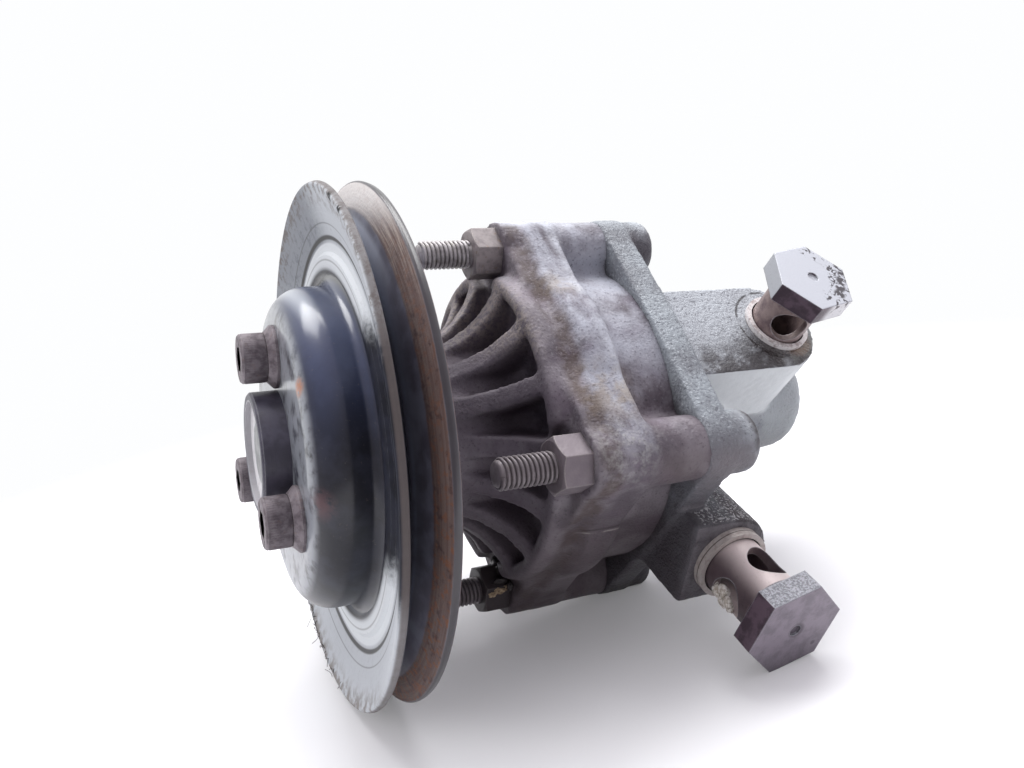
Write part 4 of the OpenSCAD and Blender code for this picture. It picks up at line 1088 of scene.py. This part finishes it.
# %% [markdown]
# ## Grime
#
# Dirt that stands proud has a shape of its own, so it is modelled and not only painted: a white crust in
# a cross hole of the lower bolt, and grease and a tan crust on the lowest nut. Each lump is a small
# sphere pressed flat and made uneven by a noise.

# %% Lumps of grime
LUMP_UNEVEN = 0.3
LUMP_WAVES = 1.6
LUMP_RIPPLES = 4.5
RIPPLE_SHARE = 0.4


def crust(pale, deep):
    def make(p):
        colour = mix(pale, deep, p.noise(1.0, 4, 0.7).fade(0.4, 0.6))
        # Painted shade in the hollows of the crust.
        colour = mix(colour, "#2e2622", p.crevice_shade(1.5).fade(0.4, 0.9) * 0.6)
        return {"Base Color": colour, "Roughness": 0.6 + 0.3 * p.noise(0.6, 2)}
    return make


def lump(bm, place, size, out, seed):
    """An uneven lump in millimetres: its size is (length, width, height over the surface)."""
    turn = Vector((0, 0, 1)).rotation_difference(Vector(out)).to_matrix().to_4x4()
    grow = Matrix.Diagonal((*[v * MM for v in size], 1))
    made = bmesh.ops.create_icosphere(bm, subdivisions=3, radius=1)["verts"]
    for vert in made:
        vert.co *= 1 + LUMP_UNEVEN * noise.noise(vert.co * LUMP_WAVES + Vector((seed, 0, 0)))
        ripple = noise.noise(vert.co * LUMP_RIPPLES + Vector((0, seed, 0)))
        vert.co *= 1 + RIPPLE_SHARE * LUMP_UNEVEN * ripple
    bmesh.ops.transform(bm, matrix=Matrix.Translation(Vector(place) * MM) @ turn @ grow, verts=made)


def stick(piece, finish_name, body):
    """Dirt has its own finish and rides on a body."""
    dress(piece, finish_name)
    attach(piece, body)


def grime(name, finish_name, body, lumps):
    bm = bmesh.new()
    for seed, (place, size, out) in enumerate(lumps):
        lump(bm, place, size, out, seed + 0.5)
    stick(link_piece(name, bm), finish_name, body)


HOLE_OUT = (-0.966, 0.09, -0.243)
NEAR_OUT = (-0.1, -0.9, -0.4)
finish("white_crust", crust("#d9d5cf", "#a39a8e"))
finish("tan_crust", crust("#b3a083", "#6f5e49"))
finish("black_grease", crust("#171212", "#2a2220"), coat_weight=0.5, coat_roughness=0.2)
grime("bolt_hole_crust", "white_crust", "housing", [
    ((84.6, -55.8, -38.8), (2.2, 1.8, 1.3), HOLE_OUT), ((84.4, -57.6, -41.0), (1.9, 1.6, 1.2), HOLE_OUT),
    ((84.4, -53.4, -39.6), (2.1, 1.7, 1.2), HOLE_OUT), ((85.0, -55.2, -41.8), (2.0, 1.6, 1.2), HOLE_OUT),
    ((84.6, -52.2, -38.0), (1.5, 1.2, 0.9), HOLE_OUT), ((85.6, -56.8, -43.0), (1.5, 1.3, 1.0), HOLE_OUT)])
grime("nut_crust", "tan_crust", "housing", [
    ((41.2, -6.4, -48.9), (2.6, 1.5, 0.6), NEAR_OUT), ((39.0, -6.4, -49.6), (1.5, 1.2, 0.5), NEAR_OUT),
    ((43.4, -6.5, -48.0), (1.2, 0.9, 0.5), NEAR_OUT)])
grime("nut_grease", "black_grease", "housing", [
    ((44.4, -4.2, -43.4), (2.8, 3.2, 1.6), NEAR_OUT), ((44.6, 0.5, -42.6), (2.4, 3.0, 1.5), (-0.5, 0, 0.8)),
    ((42.0, -6.2, -46.2), (2.6, 1.6, 0.6), NEAR_OUT), ((44.8, -7.6, -47.5), (1.2, 1.8, 1.2), NEAR_OUT)])
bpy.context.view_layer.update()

# %% [markdown]
# ## Fibres
#
# Fibres are caught on the lower rim of the pulley. Each one is a triangle spun along an arc.

# %% Fibres on the pulley's lower rim
FIBRES = 44
FIBRE_SEED = 11
FIBRE_RADIUS = 0.09 * MM
FIBRE_TURNS = (176, 214)
FIBRE_ROOTS = (68.2, 69.6)
FIBRE_PLACES = (-7.2, -6.4)
FIBRE_FORWARD = (-0.5, 0.3)
FIBRE_OUTWARD = (0.3, 1)
FIBRE_SIDEWAYS = (-0.9, 0.9)
FIBRE_REACH = (1.8, 4.6)
FIBRE_ARC = (0.6, 1.4)


def grey_fibre(p):
    colour = mix("#1c1817", "#3d3731", p.noise(1.5, 2).fade(0.4, 0.6))
    return {"Base Color": colour, "Roughness": 0.7 + 0.2 * p.noise(0.8, 2)}


def fibre(bm, draw):
    """One bent fibre that starts on the front flange near its rim."""
    turn = math.radians(draw.uniform(*FIBRE_TURNS))
    rim = Vector((0, -math.sin(turn), math.cos(turn)))
    root = rim * draw.uniform(*FIBRE_ROOTS) * MM + Vector((draw.uniform(*FIBRE_PLACES) * MM, 0, 0))
    along = Vector((draw.uniform(*FIBRE_FORWARD), 0, 0)) + rim * draw.uniform(*FIBRE_OUTWARD)
    along += rim.cross((1, 0, 0)) * draw.uniform(*FIBRE_SIDEWAYS)
    along.normalize()
    bend = along.orthogonal().normalized()
    bend.rotate(Matrix.Rotation(draw.uniform(0, math.tau), 3, along))
    face = Vector((0, 0, 1)).rotation_difference(along).to_matrix().to_4x4()
    ring = bmesh.ops.create_circle(bm, segments=3, radius=FIBRE_RADIUS, cap_ends=True,
                                   matrix=Matrix.Translation(root) @ face)["verts"]
    faces = list({f for v in ring for f in v.link_faces})
    reach = draw.uniform(*FIBRE_REACH) * MM
    bmesh.ops.spin(bm, geom=faces, cent=root + bend * reach, axis=bend.cross(along),
                   angle=draw.uniform(*FIBRE_ARC), steps=5)


def rim_fibres():
    draw = random.Random(FIBRE_SEED)
    bm = bmesh.new()
    for _ in range(FIBRES):
        fibre(bm, draw)
    bmesh.ops.recalc_face_normals(bm, faces=bm.faces)
    piece = link_piece("rim_fibres", bm)
    finish("grey_fibres", grey_fibre)
    stick(piece, "grey_fibres", "rotating_group")
    return piece


print("fibres:", FIBRES, "with", len(rim_fibres().data.polygons), "faces")

# %% [markdown]
# ## Stage and light
#
# The pump rests on the rim of its pulley and on the lower bolt, so the floor is tilted in the pump's own
# frame. It fades out into a white world, which keeps the soft shadow and hides the edge of the floor.
# The camera sees that world white. As a light it is dimmer on the viewer's side and brighter above.

# %% Floor, world and lamps
FLOOR_POINT = Vector((0.0059, 0, -0.0702))
FLOOR_UP = Vector((-0.155, 0.02, 0.988)).normalized()
FLOOR_RADIUS = 0.6
FLOOR_COLOUR = (0.93, 0.94, 0.95, 1)
FLOOR_MIDDLE = ((60, 0, -60), 330, 110)
FLOOR_SHARE = 0.87
ROOM_LIGHT = 0.62
ROOM_DIMMING = 0.27
ROOM_ABOVE = 0.42
ROOM_TINT = (1.0, 0.945, 1.03, 1.0)
BACKDROP_TINT = (0.985, 0.992, 1.0, 1.0)


def white_world():
    world = bpy.data.worlds.new("white_room")
    world.use_nodes = True
    tree = world.node_tree
    back = tree.nodes["Background"]
    start = Wire(tree, None)
    way = start.node("ShaderNodeTexCoord", output="Generated")
    dim_side = way.dot(CAMERA_RIGHT.cross(CAMERA_UP))
    room = ROOM_LIGHT - ROOM_DIMMING * dim_side.fade(-0.25, 0.75)
    room = room + ROOM_ABOVE * way.axes()[2].fade(0.2, 1.0)
    rays = start.node("ShaderNodeLightPath").socket.node.outputs
    seen = Wire(tree, rays["Is Camera Ray"]) + Wire(tree, rays["Is Transmission Ray"])
    backdrop = Wire(tree, rays["Is Glossy Ray"]) * dim_side.fade(0.1, -0.2)
    shown = seen.maths("MINIMUM", seen + backdrop, 1.0)
    strength = shown + (1 - shown) * room
    tint = mix(ROOM_TINT, BACKDROP_TINT, shown)
    tree.links.new(tint.socket, back.inputs["Color"])
    tree.links.new(strength.socket, back.inputs["Strength"])
    bpy.context.scene.world = world


def pale_floor(p):
    return {"Alpha": p.near(*FLOOR_MIDDLE) * FLOOR_SHARE}


def lay_floor():
    bm = bmesh.new()
    turn = Vector((0, 0, 1)).rotation_difference(FLOOR_UP).to_matrix().to_4x4()
    bmesh.ops.create_circle(bm, cap_ends=True, segments=96, radius=FLOOR_RADIUS,
                            matrix=Matrix.Translation(FLOOR_POINT) @ turn)
    floor = link_piece("floor", bm)
    finish("pale_floor", pale_floor, base_color=FLOOR_COLOUR, roughness=0.6)
    dress(floor, "pale_floor")


def soft_lamp(name, place, aim, power, size):
    light = bpy.data.lights.new(name, "AREA")
    light.energy = power
    light.size = size
    lamp = bpy.data.objects.new(name, light)
    bpy.context.scene.collection.objects.link(lamp)
    lamp.location = place
    lamp.rotation_mode = "QUATERNION"
    lamp.rotation_quaternion = (Vector(aim) - Vector(place)).to_track_quat("-Z", "Y")
    return lamp


white_world()
lay_floor()
soft_lamp("window_above", place=(0.28, 0.2, 0.72), aim=(0.05, 0, 0), power=4.6, size=0.5)
soft_lamp("window_behind", place=(-0.22, 0.3, 0.68), aim=(0, 0, 0), power=3.6, size=0.4)
left = soft_lamp("window_left", place=(-0.6, -0.2, 0.2), aim=(0, 0, 0), power=1.4, size=0.5)
left.visible_glossy = False
bpy.context.scene.view_settings.view_transform = "Standard"
print("stage ready")
